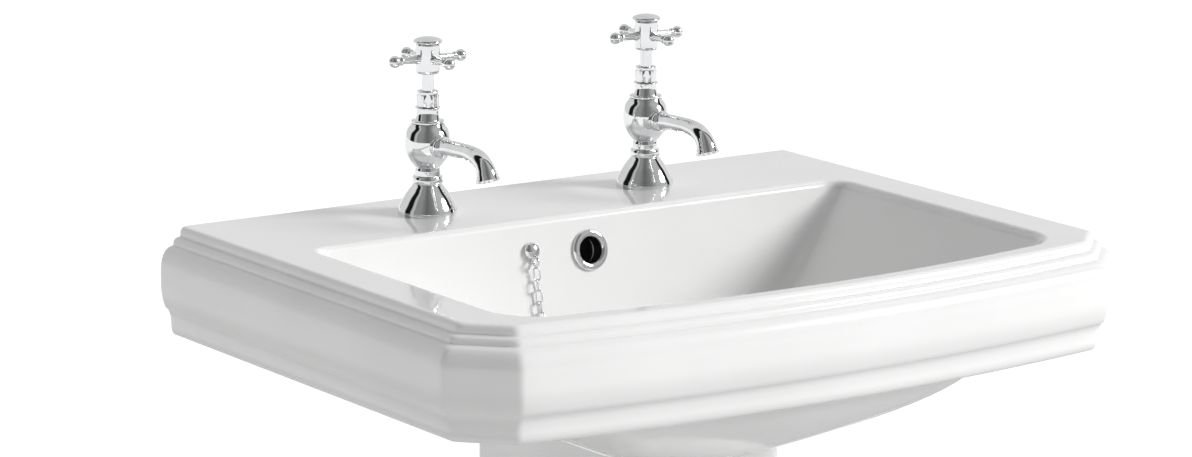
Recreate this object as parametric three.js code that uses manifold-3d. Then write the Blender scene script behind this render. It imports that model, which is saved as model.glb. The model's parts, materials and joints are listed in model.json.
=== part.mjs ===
// A pedestal washbasin with two crosshead pillar taps, as separate solids in millimetres.
// The frame stands on the floor: +Z up, the front faces -Y, the wall is on the +Y side.
// Inside the model y = 0 is the wall and z = 0 the rim of the basin, and two groups place them.
import * as THREE from "three";
import { LoftGeometry } from "three/addons/geometries/LoftGeometry.js";
import { mergeVertices } from "three/addons/utils/BufferGeometryUtils.js";
import Module from "manifold-3d";

const wasm = await Module();
wasm.setup();

// ---------------------------------------------------------------- driving dimensions, in mm

const GAP = 0.3; // between two pieces that touch
const SLOP = 0.4; // radial room of a piece that turns or slides in another

// basin: the rim's moulding stands out beyond the flat top on the front and both sides
const WIDTH = 600; // over the moulding
const TOP_DEPTH = 399.4; // wall to the front edge of the flat top, at its corners
const RIM_HEIGHT = 850; // floor to the flat top
const FRONT_BOW = 20; // how far the middle of the front stands out beyond its corners
const CORNER_CUT = 26; // the front corners are cut off at 45 degrees
const MOULDING_OUT = 21.9;
const MOULDING_DROP = 82;
const SKIRT_WALL = 12;
const DECK = 16; // thickness of the flat top
const BOWL_WIDTH = 480.6;
const BOWL_REAR = 121.7; // wall to the rear edge of the bowl
const BOWL_FRONT = 389.8; // wall to the bowl's front edge, at its corners
const BOWL_BOW = 16.7;
const BOWL_DEPTH = 140;
const BOWL_WALL = 12;
const BOWL_EDGE = 6; // the rounding between the flat top and the bowl
const BOWL_REAR_CORNER = 14;
const BOWL_FRONT_CORNER = 38;
const KNEE_DEPTH = 95; // where the bowl's sloping walls would meet its floor
const KNEE_REAR_CORNER = 40;
const KNEE_FRONT_CORNER = 36;
const WALL_STRAIGHT = 0.74; // the share of the wall above its bend into the floor
const FLOOR_ROUND = 0.6; // the share of the floor that the bend takes
const SIDE_LEAN = 0.88; // how far the walls lean in for each mm down
const REAR_LEAN = 0.2;
const FRONT_LEAN = 0.12;
const DRAIN_Y = -235;
const WASTE_TUBE = 20.9; // radius of the waste's tube
const WASTE_FLANGE = 31.5; // radius of its flange
const DRAIN_HOLE = WASTE_TUBE + 2.1; // radius
const DRAIN_SEAT = WASTE_FLANGE + 2.5; // radius of the flat that the waste's flange sits on
const BOSS_RADIUS = DRAIN_SEAT + 6;
const BOSS_DROP = 24; // the ceramic is this thick around the waste

// overflow: a hole high in the bowl's rear wall, and a channel from it down to the waste
const OVERFLOW_Z = -27.5;
const OVERFLOW_HOLE = 12; // radius
const OVERFLOW_RING = 15.8; // radius
const CHANNEL_WIDTH = 26;
const CHANNEL_DEPTH = 10;
const CHANNEL_WALL = 5;
const CHANNEL_Z = -BOWL_DEPTH - 12; // the channel's height where it reaches the waste

// taps, measured up from the flat top
const TAP_X = 100.5;
const TAP_Y = -56.5;
const TAP_HOLE = 17.5; // radius
const TAIL_RADIUS = 10.4;
const TAIL_LENGTH = 55;
const TAP_BORE = 6; // radius
const FOOT_RADIUS = 22.3;
const FOOT_LIP = 3; // width of the foot's lip, which hides its seal
const SEAL_THICK = 1.7;
const WAIST_RADIUS = 10.4;
const WAIST_Z = 22.8;
const BEAD_RADIUS = 11.2;
const BEAD_HEIGHT = 5.2;
const NECK_RADIUS = 9.7;
const NECK_TOP = 34;
const BULB_RADIUS = 17.4;
const BULB_Z = 53.5;
const HEAD_Z = 69; // top of the body, where the headgear screws in
const HEAD_RADIUS = 12.3;
const CHAMBER = 9.6; // radius of the valve chamber
const SEAT_Z = 46;
const SEAT_BORE = 5; // radius
const SPOUT_BOSS = 8.4; // radius
const SPOUT_FACE = BULB_RADIUS + 0.6; // the boss's face, forward of the tap's axis
const SPOUT_REACH = 82; // the outlet's centre, forward of the tap's axis
const SPOUT_DROP = 15.5; // the outlet below the middle of the bulb
const SPOUT_THIN = 6; // radius
const SPOUT_MOUTH = 9; // radius
const SPOUT_WALL = 2;
const FLANGE_RADIUS = 12.5;
const FLANGE_THICK = 1.9;
const BARREL_RADIUS = 8.7;
const BARREL_TOP = 81.3;
const BARREL_RING = 9.5; // radius
const PACKING_ROOM = 6.9; // radius of the well for the packing
const GLAND_FLATS = 14.6; // across flats
const GLAND_TOP = 93.8;
const GLAND_COLLAR = 8; // radius
const GLAND_COLLAR_HEIGHT = 2.4;
const SPINDLE_RADIUS = 4.75;
const HUB_RADIUS = 9.2;
const HUB_BOTTOM = 107;
const HUB_TOP = 130;
const ARM_Z = 118;
const ARM_REACH = 29.3; // the ball's centre, out from the tap's axis
const ARM_BALL = 4.6; // radius
const ARM_THICK = 3.3; // radius at the hub
const ARM_NECK = 2.1; // radius behind the ball
const CAP_RADIUS = 11;
const CAP_DOME = 3.8;
const VALVE_LIFT = 5; // the jumper and spindle rise this far as the tap opens

// waste, plug and chain
const WASTE_FLANGE_THICK = 2.6;
const WASTE_BORE = WASTE_TUBE - 3.3; // radius
const WASTE_LENGTH = 85;
const WASTE_NUT = 2 * WASTE_TUBE + 16.2; // across flats
const WASTE_SEAL_TOP = 1.4; // thickness of the seal under the flange
const WASTE_SEAL_UNDER = 5;
const PLUG_TOP = WASTE_BORE + 2; // radius
const PLUG_HEIGHT = 13;
const PLUG_RING = 4.2; // radius of the ring's bend
const PLUG_RING_THICK = 0.9; // radius
const CHAIN_STAY_X = -53;
const CHAIN_STAY_Z = -22.5;
const CHAIN_STAY_RADIUS = 6.6;
const CHAIN_STUD = 2.2; // radius
const CHAIN_RADIUS = 2.5;
const CHAIN_LIFT = 3.4; // from the chain's middle line to the ceramic it lies on

// bottle trap and waste pipe
const TRAP_RADIUS = 27;
const TRAP_WALL = 2.6;
const TRAP_NECK = 32; // from the end of the waste's tube down to the shoulder
const TRAP_HEIGHT = 93; // shoulder to the open bottom
const DIP_RADIUS = 16.9;
const DIP_BELOW = 18; // the dip tube's end, below the open bottom
const CUP_DEPTH = 40;
const CUP_OVERLAP = 14;
const OUTLET_REACH = 22; // the outlet stands out this far from the trap
const PIPE_RADIUS = 17.5;
const PIPE_WALL = 2.2;
const OUTLET_DROP = 33; // from the trap's shoulder down to the outlet's axis

// pedestal: a C in plan, open at the back
const COLUMN_HALF = 100;
const COLUMN_BACK = -128;
const COLUMN_SIDE = -196; // the sides run straight from the back to here
const COLUMN_FRONT = -284;
const COLUMN_WALL = 10;
const COLUMN_ROUND = 2.5; // exponent of the front's rounding
const PLINTH_HEIGHT = 72;
const PLINTH_OUT = 16;
const COLUMN_TOP = 716;
const LUG_X = 76;
const LUG_Y = -150;
const LUG_SIZE = 30;
const LUG_THICK = 12;
const SCREW_RADIUS = 2.6;

// wall bolts
const BOLT_X = 150;
const BOLT_Z = -58;
const BOLT_RADIUS = 4;
const BOLT_REACH = 40;
const BOLT_NUT = 13; // across flats

// ---------------------------------------------------------------- materials

function finish(color, roughness, metalness = 0) {
  return new THREE.MeshStandardMaterial({ color, roughness, metalness });
}

const CERAMIC = finish(0xf4f4f2, 0.08);
const CHROME = finish(0xd9dcde, 0.06, 1);
const BRASS = finish(0xb08d46, 0.35, 1);
const RUBBER = finish(0x1c1c1c, 0.85);
const WHITE_PLASTIC = finish(0xeeeeea, 0.45);
const STEEL = finish(0xb4b6b8, 0.35, 1);

// ---------------------------------------------------------------- making solids

function solidOf(geometry) {
  const bare = new THREE.BufferGeometry();
  bare.setAttribute("position", geometry.getAttribute("position"));
  bare.setIndex(geometry.index);
  const merged = mergeVertices(bare, 1e-4);
  return new wasm.Manifold(
    new wasm.Mesh({
      numProp: 3,
      vertProperties: merged.attributes.position.array,
      triVerts: new Uint32Array(merged.index.array),
    }),
  );
}

function geometryOf(solid) {
  const mesh = solid.getMesh();
  const geometry = new THREE.BufferGeometry();
  geometry.setAttribute("position", new THREE.BufferAttribute(mesh.vertProperties, 3));
  geometry.setIndex(new THREE.BufferAttribute(mesh.triVerts, 1));
  return geometry;
}

function cut(geometry, ...tools) {
  let solid = solidOf(geometry);
  for (const tool of tools) solid = solid.subtract(solidOf(tool));
  return geometryOf(solid);
}

function join(geometry, ...others) {
  let solid = solidOf(geometry);
  for (const other of others) solid = solid.add(solidOf(other));
  return geometryOf(solid);
}

// A solid of revolution about Z, from [radius, height] corners that run round its section.
function turned(section, segments = 16) {
  const area = section.reduce((sum, [r, z], i) => {
    const [r2, z2] = section[(i + 1) % section.length];
    return sum + r * z2 - r2 * z;
  }, 0);
  const corners = area > 0 ? [...section] : [...section].reverse();
  if (corners.every(([r]) => r > 0)) corners.push(corners[0]);
  else while (corners[0][0] !== 0 || corners.at(-1)[0] !== 0) corners.push(corners.shift());
  const profile = corners.map(([r, z]) => new THREE.Vector2(r, z));
  return new THREE.LatheGeometry(profile, segments).rotateX(Math.PI / 2);
}

function ring(inner, outer, bottom, top, segments = 16) {
  return turned([[inner, bottom], [outer, bottom], [outer, top], [inner, top]], segments);
}

function rod(radius, bottom, top, segments = 16) {
  return turned([[0, bottom], [radius, bottom], [radius, top], [0, top]], segments);
}

// A six-sided nut about Z with a round bore, measured across its flats.
function hexNut(flats, bore, bottom, top, segments = 16) {
  const corner = flats / 2 / Math.cos(Math.PI / 6);
  const outside = rod(corner, bottom, top, 6);
  return cut(outside, rod(bore, bottom - 1, top + 1, segments));
}

// Turns a geometry made about +Z so that it points along -Y.
function facingFront(geometry) {
  return geometry.rotateX(Math.PI / 2);
}

// Turns a geometry made about +Z so that it points along +Y.
function facingBack(geometry) {
  return geometry.rotateX(-Math.PI / 2);
}

// ---------------------------------------------------------------- rings of the basin

const LONG = 8; // steps along the front or the back
const SHORT = 6; // steps along a side
const TURN = 4; // steps round a corner

// A closed ring at one height: straight rear and sides, a bowed front, and four corners that are
// rounded, or cut off at the front where `chamfer` is given. All rings have the same point count.
function basinRing({ half, rear, front, bow, rearCorner, frontCorner, chamfer, z }) {
  const points = [];
  const at = (x, y) => points.push(new THREE.Vector3(x, y, z));
  const reach = chamfer ?? frontCorner;
  const frontEnd = half - reach;
  const bowed = (x) => front - bow * (1 - (x / frontEnd) ** 2);
  for (let i = 0; i < LONG; i++) at(lerp(rearCorner - half, half - rearCorner, i / LONG), rear);
  for (let i = 0; i < TURN; i++) {
    const a = (i / TURN) * (Math.PI / 2);
    at(half - rearCorner * (1 - Math.sin(a)), rear - rearCorner * (1 - Math.cos(a)));
  }
  for (let i = 0; i < SHORT; i++) at(half, lerp(rear - rearCorner, front + reach, i / SHORT));
  for (let i = 0; i < TURN; i++) at(...frontTurn(i / TURN));
  for (let i = 0; i < LONG; i++) {
    const x = lerp(frontEnd, -frontEnd, i / LONG);
    at(x, bowed(x));
  }
  for (let i = 0; i < TURN; i++) {
    const [x, y] = frontTurn(1 - i / TURN);
    at(-x, y);
  }
  for (let i = 0; i < SHORT; i++) at(-half, lerp(front + reach, rear - rearCorner, i / SHORT));
  for (let i = 0; i < TURN; i++) {
    const a = (1 - i / TURN) * (Math.PI / 2);
    at(-half + rearCorner * (1 - Math.sin(a)), rear - rearCorner * (1 - Math.cos(a)));
  }
  return points;

  function frontTurn(t) {
    if (chamfer !== undefined) return [half - chamfer * t, front + chamfer * (1 - t)];
    const a = t * (Math.PI / 2);
    return [half - reach * (1 - Math.cos(a)), front + reach * (1 - Math.sin(a))];
  }
}

function lerp(a, b, t) {
  return a + (b - a) * t;
}

function between(from, to, t) {
  return from.map((p, i) => p.clone().lerp(to[i], t));
}

// The ring's points carried in onto a circle round the drain, at another height.
function drainCircle(like, radius, z) {
  return like.map((p) => {
    const angle = Math.atan2(p.y - DRAIN_Y, p.x);
    return new THREE.Vector3(radius * Math.cos(angle), DRAIN_Y + radius * Math.sin(angle), z);
  });
}

// The flat top's outline, moved out by `out`, or in from the wall by `inset`.
const TOP_HALF = WIDTH / 2 - MOULDING_OUT;
function outline(out, z, inset = 0) {
  return basinRing({
    half: TOP_HALF + out,
    rear: -inset,
    front: -TOP_DEPTH - out,
    bow: FRONT_BOW,
    rearCorner: 2,
    chamfer: CORNER_CUT + out * (2 - Math.SQRT2),
    z,
  });
}

// The bowl's opening, moved out by `out`.
function opening(out, z) {
  return basinRing({
    half: BOWL_WIDTH / 2 + out,
    rear: -BOWL_REAR + out,
    front: -BOWL_FRONT - out,
    bow: BOWL_BOW,
    rearCorner: BOWL_REAR_CORNER + out,
    frontCorner: BOWL_FRONT_CORNER + out,
    z,
  });
}

// Where the bowl's walls would meet its floor, moved out by `out` and down by `down`.
function knee(out, down) {
  return basinRing({
    half: BOWL_WIDTH / 2 - SIDE_LEAN * KNEE_DEPTH + out,
    rear: -BOWL_REAR - REAR_LEAN * KNEE_DEPTH + out,
    front: -BOWL_FRONT + FRONT_LEAN * KNEE_DEPTH - out,
    bow: BOWL_BOW,
    rearCorner: KNEE_REAR_CORNER + out,
    frontCorner: KNEE_FRONT_CORNER + out,
    z: -KNEE_DEPTH - down,
  });
}

// Rings from the top of a wall, round the knee, to the floor's inner end.
function wallRings(top, bend, floor) {
  const straight = [0, 1 / 3, 2 / 3].map((t) => between(top, bend, t * WALL_STRAIGHT));
  const wallEnd = between(top, bend, WALL_STRAIGHT);
  const floorStart = between(bend, floor, FLOOR_ROUND);
  const rounded = [0, 0.2, 0.4, 0.6, 0.8, 1].map((t) =>
    between(between(wallEnd, bend, t), between(bend, floorStart, t), t),
  );
  return [...straight, ...rounded];
}

function bowlInside() {
  const bend = knee(0, 0);
  const floor = drainCircle(bend, DRAIN_SEAT, -BOWL_DEPTH);
  return [...wallRings(opening(0, -BOWL_EDGE), bend, floor), floor];
}

// The outside of the bowl, `grow` further out than the ceramic's own surface.
const LEAN_OUT = BOWL_WALL * 1.15; // the wall's thickness measured level, where it leans
const REAR_SLOPE = (REAR_LEAN * KNEE_DEPTH) / (KNEE_DEPTH - BOWL_EDGE);
const REAR_THICK = (LEAN_OUT + REAR_SLOPE * (DECK - BOWL_EDGE)) * Math.cos(Math.atan(REAR_SLOPE));
function bowlOutside(grow) {
  const out = LEAN_OUT + grow;
  const bend = knee(out, BOWL_WALL + grow);
  const floor = drainCircle(bend, BOSS_RADIUS + grow, -BOWL_DEPTH - BOSS_DROP - grow);
  const top = opening(out, -DECK);
  return [...wallRings(top, bend, floor), floor];
}

// The rim's moulding, as [out, down] from the edge of the flat top: a rounded edge, two small
// reeds, a full convex face, a groove, and a narrow lip.
const MOULDING = [
  [0, 0],
  [4, 3],
  [5, 6],
  [9.6, 8],
  [11, 11.6],
  [15, 14.5],
  [19.8, 19.6],
  [MOULDING_OUT, 27],
  [MOULDING_OUT, 42],
  [18.6, 59],
  [14, 65],
  [13, 75],
  [7.4, MOULDING_DROP],
];

// ---------------------------------------------------------------- basin

function channelPath() {
  const outsideAt = (z) => -BOWL_REAR + LEAN_OUT + REAR_LEAN * z;
  const away = CHANNEL_DEPTH / 2 + 1;
  const kneeY = outsideAt(-KNEE_DEPTH);
  return new THREE.CatmullRomCurve3([
    new THREE.Vector3(0, outsideAt(-DECK) + away, -DECK + 2),
    new THREE.Vector3(0, outsideAt(-60) + away, -60),
    new THREE.Vector3(0, outsideAt(-110) + away, -110),
    new THREE.Vector3(0, kneeY - 2, -KNEE_DEPTH - 16),
    new THREE.Vector3(0, kneeY - 26, CHANNEL_Z),
    new THREE.Vector3(0, DRAIN_Y + DRAIN_HOLE - 3, CHANNEL_Z),
  ]);
}

function swept(width, depth, path, steps) {
  const shape = new THREE.Shape();
  shape.moveTo(-width / 2, -depth / 2);
  shape.lineTo(width / 2, -depth / 2);
  shape.lineTo(width / 2, depth / 2);
  shape.lineTo(-width / 2, depth / 2);
  shape.closePath();
  return new THREE.ExtrudeGeometry(shape, { steps, extrudePath: path, bevelEnabled: false });
}

function basinGeometry() {
  const inside = bowlInside().reverse();
  const seat = inside[0];
  const hole = (z) => drainCircle(seat, DRAIN_HOLE, z);
  const outside = bowlOutside(0);
  const boss = outside.at(-1);
  const sections = [
    hole(-BOWL_DEPTH - BOSS_DROP),
    hole(-BOWL_DEPTH - 1),
    ...inside,
    opening(BOWL_EDGE * 0.3, -BOWL_EDGE * 0.3),
    opening(BOWL_EDGE, 0),
    ...MOULDING.map(([out, down]) => outline(out, -down)),
    outline(-2, -MOULDING_DROP, SKIRT_WALL),
    outline(5.5, -60, SKIRT_WALL),
    outline(8, -30, SKIRT_WALL),
    outline(6, -DECK, SKIRT_WALL),
    ...outside,
    hole(boss[0].z),
  ];
  const shell = new LoftGeometry(sections);
  const duct = swept(
    CHANNEL_WIDTH + 2 * CHANNEL_WALL,
    CHANNEL_DEPTH + 2 * CHANNEL_WALL,
    channelPath(),
    14,
  );
  const ductInDrain = rod(DRAIN_HOLE, -BOWL_DEPTH - BOSS_DROP - 5, -BOWL_DEPTH + 5, 24);
  ductInDrain.translate(0, DRAIN_Y, 0);
  const channel = swept(CHANNEL_WIDTH, CHANNEL_DEPTH, channelPath(), 14);
  const overflow = onRearWall(rod(OVERFLOW_HOLE, -LEAN_OUT - 6, 12, 20), 0, OVERFLOW_Z);
  const tools = [channel, ductInDrain, overflow];
  for (const side of [-1, 1]) {
    const tapHole = rod(TAP_HOLE, -DECK - 4, 4, 24).translate(side * TAP_X, TAP_Y, 0);
    const boltHole = rod(BOLT_RADIUS + 1.2, -5, SKIRT_WALL + 5, 12).rotateX(Math.PI / 2);
    boltHole.translate(side * BOLT_X, 0, BOLT_Z);
    tools.push(tapHole, boltHole);
  }
  tools.push(onRearWall(rod(CHAIN_STUD + SLOP, -30, 12, 12), CHAIN_STAY_X, CHAIN_STAY_Z));
  return cut(join(shell, duct), ...tools);
}

// Moves a geometry made about +Z from z = 0 onto the bowl's rear wall, square to it and facing in.
function onRearWall(geometry, x, z) {
  const y = -BOWL_REAR + REAR_SLOPE * (z + BOWL_EDGE);
  return geometry.rotateX(Math.PI / 2 - Math.atan(REAR_SLOPE)).translate(x, y, z);
}

// ---------------------------------------------------------------- pedestal

function columnSection(out, z) {
  const arc = (inset) => {
    const half = COLUMN_HALF + out - inset;
    const depth = COLUMN_SIDE - COLUMN_FRONT + out - inset;
    const points = [];
    const steps = 14;
    for (let i = 0; i <= steps; i++) {
      const a = (i / steps) * Math.PI;
      const c = Math.cos(a);
      const x = half * Math.sign(c) * Math.abs(c) ** (2 / COLUMN_ROUND);
      const y = COLUMN_SIDE - depth * Math.sin(a) ** (2 / COLUMN_ROUND);
      points.push([x, y]);
    }
    return [[half, COLUMN_BACK], ...points, [-half, COLUMN_BACK]];
  };
  const loop = [...arc(COLUMN_WALL), ...arc(0).reverse()];
  return loop.map(([x, y]) => new THREE.Vector3(x, y, z));
}

// How far the pedestal's outside stands out from its plain column, against height.
const COLUMN_PROFILE = [
  [0, PLINTH_OUT - 1.5],
  [2, PLINTH_OUT],
  [PLINTH_HEIGHT - 4, PLINTH_OUT],
  [PLINTH_HEIGHT, PLINTH_OUT - 3],
  [PLINTH_HEIGHT + 5, PLINTH_OUT - 4.5],
  [PLINTH_HEIGHT + 7, PLINTH_OUT - 8],
  [PLINTH_HEIGHT + 12, PLINTH_OUT - 9.5],
  [PLINTH_HEIGHT + 28, -2],
  [PLINTH_HEIGHT + 70, -7],
  [PLINTH_HEIGHT + 240, -9],
  [COLUMN_TOP - 220, -5],
  [COLUMN_TOP - 60, 0],
  [COLUMN_TOP, 0],
];

function pedestalGeometry() {
  const sections = COLUMN_PROFILE.map(([z, out]) => columnSection(out, z));
  const column = new LoftGeometry(sections, { capStart: true, capEnd: true });
  const clearance = bowlOutside(GAP);
  const mouth = clearance[0].map((p) => new THREE.Vector3(p.x, p.y, 40));
  const bowl = new LoftGeometry([mouth, ...clearance], { capStart: true, capEnd: true });
  bowl.translate(0, 0, RIM_HEIGHT);
  const lugInner = LUG_X - LUG_SIZE / 2;
  const lugOuter = COLUMN_HALF + PLINTH_OUT - COLUMN_WALL / 2;
  const lugs = [-1, 1].map((side) =>
    new THREE.BoxGeometry(lugOuter - lugInner, LUG_SIZE, LUG_THICK).translate(
      (side * (lugOuter + lugInner)) / 2,
      LUG_Y,
      LUG_THICK / 2,
    ),
  );
  const holes = [-1, 1].map((side) =>
    rod(SCREW_RADIUS + 0.8, -2, LUG_THICK + 2, 12).translate(side * LUG_X, LUG_Y, 0),
  );
  return cut(join(column, ...lugs), bowl, ...holes);
}

// ---------------------------------------------------------------- taps

function tapBodyGeometry() {
  const foot = SEAL_THICK + 2 * GAP;
  const beadBottom = WAIST_Z + 0.6;
  const beadTop = beadBottom + BEAD_HEIGHT;
  const port = SEAT_Z - 3; // floor of the valve chamber
  const section = [
    [TAP_BORE, -TAIL_LENGTH],
    [TAIL_RADIUS, -TAIL_LENGTH],
    [TAIL_RADIUS, foot],
    [FOOT_RADIUS - FOOT_LIP, foot],
    [FOOT_RADIUS - FOOT_LIP, GAP],
    [FOOT_RADIUS, GAP],
    [FOOT_RADIUS, 3],
    [FOOT_RADIUS * 0.94, 7.5],
    [FOOT_RADIUS * 0.79, 13.5],
    [FOOT_RADIUS * 0.62, 18.6],
    [WAIST_RADIUS, WAIST_Z],
    [BEAD_RADIUS, beadBottom],
    [BEAD_RADIUS, beadTop - 0.7],
    [NECK_RADIUS, beadTop],
    [NECK_RADIUS, NECK_TOP],
    [NECK_RADIUS - 0.5, NECK_TOP + 2],
    [BULB_RADIUS * 0.75, BULB_Z - 13],
    [BULB_RADIUS * 0.93, BULB_Z - 7.5],
    [BULB_RADIUS, BULB_Z - 1.5],
    [BULB_RADIUS, BULB_Z + 3],
    [BULB_RADIUS * 0.92, BULB_Z + 9.5],
    [HEAD_RADIUS + 0.4, HEAD_Z - 1.2],
    [HEAD_RADIUS, HEAD_Z],
    [CHAMBER, HEAD_Z],
    [CHAMBER, port],
    [SEAT_BORE + 2.4, port],
    [SEAT_BORE + 1.4, SEAT_Z],
    [SEAT_BORE, SEAT_Z],
    [SEAT_BORE, port - 3],
    [TAP_BORE, port - 5],
  ];
  const boss = facingFront(rod(SPOUT_BOSS, CHAMBER + 3, SPOUT_FACE)).translate(0, 0, BULB_Z);
  const way = facingFront(rod(TAP_BORE, 4, SPOUT_FACE + 2)).translate(0, 0, BULB_Z);
  return cut(join(turned(section), boss), way);
}

// The spout is a tube whose radius changes along its bend: a collar, a slim arm, a flared mouth.
function spoutGeometry() {
  const start = SPOUT_FACE + GAP;
  const line = [
    [start, 0],
    [start + 4, 0],
    [start + 13, 1],
    [start + 25, 1.4],
    [SPOUT_REACH - 22, 1.3],
    [SPOUT_REACH - 11, -1.1],
    [SPOUT_REACH - 3.4, -7.2],
    [SPOUT_REACH, -SPOUT_DROP],
  ];
  const path = new THREE.CatmullRomCurve3(line.map(([out, up]) => new THREE.Vector3(0, -out, up)));
  const outside = [
    [0, SPOUT_BOSS],
    [0.04, SPOUT_BOSS],
    [0.07, SPOUT_THIN + 0.8],
    [0.2, SPOUT_THIN],
    [0.55, SPOUT_THIN],
    [0.68, SPOUT_THIN + 0.3],
    [0.8, SPOUT_THIN + 0.5],
    [0.89, SPOUT_THIN + 1.2],
    [0.96, SPOUT_MOUTH - 0.7],
    [1, SPOUT_MOUTH],
  ];
  const bore = [
    [1, SPOUT_MOUTH - SPOUT_WALL],
    [0.9, SPOUT_THIN - SPOUT_WALL + 0.8],
    [0.68, SPOUT_THIN - SPOUT_WALL],
    [0.4, SPOUT_THIN - SPOUT_WALL],
    [0, SPOUT_THIN - SPOUT_WALL],
  ];
  const steps = 14;
  const ringAt = ([t, radius]) => {
    const centre = path.getPointAt(t);
    const along = path.getTangentAt(t);
    const up = new THREE.Vector3(0, -along.z, along.y);
    const points = [];
    for (let i = 0; i < steps; i++) {
      const a = (i / steps) * 2 * Math.PI;
      const point = centre.clone().addScaledVector(up, radius * Math.sin(a));
      point.x -= radius * Math.cos(a);
      points.push(point);
    }
    return points;
  };
  const loop = [...outside, ...bore, outside[0]];
  return new LoftGeometry(loop.map(ringAt)).translate(0, 0, BULB_Z);
}

// Inside the headgear the spindle's thread and the jumper have room to rise by the valve's lift.
const JUMPER_DISC = 3; // from the seat up to the jumper's disc, over its washer
const DISC_THICK = 2.3;
const SPINDLE_FOOT = SEAT_Z + JUMPER_DISC + DISC_THICK + GAP;
const SLEEVE = CHAMBER - SLOP; // radius of the headgear's threaded sleeve
const SLEEVE_BOTTOM = SPINDLE_FOOT + VALVE_LIFT + SLOP;
const SPINDLE_THREAD = 7; // radius
const THREAD_TOP = SLEEVE_BOTTOM + 7;
const THREAD_ROOM = THREAD_TOP + 1 + VALVE_LIFT + SLOP;
const SPINDLE_HEAD = HUB_BOTTOM + 13;
const PACKING_DEPTH = 6;

function headgearGeometry() {
  const flange = HEAD_Z + GAP;
  const barrel = flange + FLANGE_THICK;
  const ringBottom = BARREL_TOP - 0.8;
  const bore = SPINDLE_RADIUS + SLOP;
  return turned([
    [SPINDLE_THREAD + SLOP, SLEEVE_BOTTOM],
    [SLEEVE, SLEEVE_BOTTOM],
    [SLEEVE, flange],
    [FLANGE_RADIUS, flange],
    [FLANGE_RADIUS, barrel],
    [BARREL_RADIUS + 0.3, barrel],
    [BARREL_RADIUS - 0.4, ringBottom],
    [BARREL_RING, ringBottom],
    [BARREL_RING, BARREL_TOP],
    [PACKING_ROOM, BARREL_TOP],
    [PACKING_ROOM, BARREL_TOP - PACKING_DEPTH],
    [bore, BARREL_TOP - PACKING_DEPTH],
    [bore, THREAD_ROOM],
    [SPINDLE_THREAD + SLOP, THREAD_ROOM],
  ]);
}

function packingGeometry() {
  const bottom = BARREL_TOP - PACKING_DEPTH + GAP;
  return ring(SPINDLE_RADIUS + SLOP, PACKING_ROOM - SLOP, bottom, bottom + 2.3);
}

function glandNutGeometry() {
  const bottom = BARREL_TOP + GAP;
  const collarBottom = GLAND_TOP - GLAND_COLLAR_HEIGHT;
  const corner = GLAND_FLATS / 2 / Math.cos(Math.PI / 6);
  const sleeve = rod(PACKING_ROOM - GAP, BARREL_TOP - PACKING_DEPTH / 2, bottom + 1);
  const hexagon = rod(corner, bottom, collarBottom, 6);
  const collar = rod(GLAND_COLLAR, collarBottom - 1, GLAND_TOP);
  return cut(join(hexagon, sleeve, collar), rod(SPINDLE_RADIUS + SLOP, 0, GLAND_TOP + 1));
}

function spindleGeometry() {
  const tenon = SPINDLE_RADIUS - 0.7; // radius of the end that the handle sits on
  const socket = 2.6; // radius of the hole for the jumper's stem
  const screwHole = 2; // radius
  return turned([
    [0, SPINDLE_FOOT + 8],
    [socket, SPINDLE_FOOT + 8],
    [socket, SPINDLE_FOOT],
    [SPINDLE_THREAD - 1.2, SPINDLE_FOOT],
    [SPINDLE_THREAD, SPINDLE_FOOT + 3],
    [SPINDLE_THREAD, THREAD_TOP],
    [SPINDLE_RADIUS, THREAD_TOP + 1],
    [SPINDLE_RADIUS, HUB_BOTTOM + 1],
    [tenon, HUB_BOTTOM + 1.5],
    [tenon, SPINDLE_HEAD],
    [screwHole, SPINDLE_HEAD],
    [screwHole, SPINDLE_HEAD - 10],
    [0, SPINDLE_HEAD - 10],
  ]);
}

const JUMPER_STUD = 1.8; // radius of the stud that holds the washer

function jumperGeometry() {
  const disc = SEAT_Z + JUMPER_DISC;
  const stem = 2.2; // radius of the stem in the spindle
  return turned([
    [0, SEAT_Z + 0.6],
    [JUMPER_STUD, SEAT_Z + 0.6],
    [JUMPER_STUD, disc],
    [6.4, disc],
    [6.4, disc + DISC_THICK],
    [stem, disc + DISC_THICK],
    [stem, SPINDLE_FOOT + 6.5],
    [0, SPINDLE_FOOT + 6.5],
  ]);
}

function tapWasherGeometry() {
  return ring(JUMPER_STUD + GAP, 6.1, SEAT_Z + GAP, SEAT_Z + JUMPER_DISC - GAP);
}

const CAP_SOCKET = HUB_RADIUS - 2.6; // radius of the hub's well under the cap
const SCREW_SEAT = SPINDLE_HEAD + 2.6;

function handleGeometry() {
  const hub = turned([
    [SPINDLE_RADIUS + GAP, HUB_BOTTOM],
    [HUB_RADIUS - 1.6, HUB_BOTTOM],
    [HUB_RADIUS, HUB_BOTTOM + 2],
    [HUB_RADIUS, HUB_TOP],
    [CAP_SOCKET, HUB_TOP],
    [CAP_SOCKET, SCREW_SEAT],
    [2.3, SCREW_SEAT],
    [2.3, SPINDLE_HEAD + GAP],
    [SPINDLE_RADIUS + GAP, SPINDLE_HEAD + GAP],
  ]);
  const ball = [];
  const steps = 4;
  const neck = Math.asin(ARM_NECK / ARM_BALL);
  for (let i = 0; i <= steps; i++) {
    const a = lerp(neck, Math.PI, i / steps);
    const radius = i === steps ? 0 : ARM_BALL * Math.sin(a);
    ball.push([radius, ARM_REACH - ARM_BALL * Math.cos(a)]);
  }
  const inner = HUB_RADIUS - 1.5;
  const profile = [[0, inner], [ARM_THICK, inner], [ARM_THICK, HUB_RADIUS + 3], ...ball];
  const arms = [0, 1, 2, 3].map((quarter) => {
    const arm = turned(profile, 8).rotateY(Math.PI / 2);
    return arm.rotateZ((quarter * Math.PI) / 2).translate(0, 0, ARM_Z);
  });
  return join(hub, ...arms);
}

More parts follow.
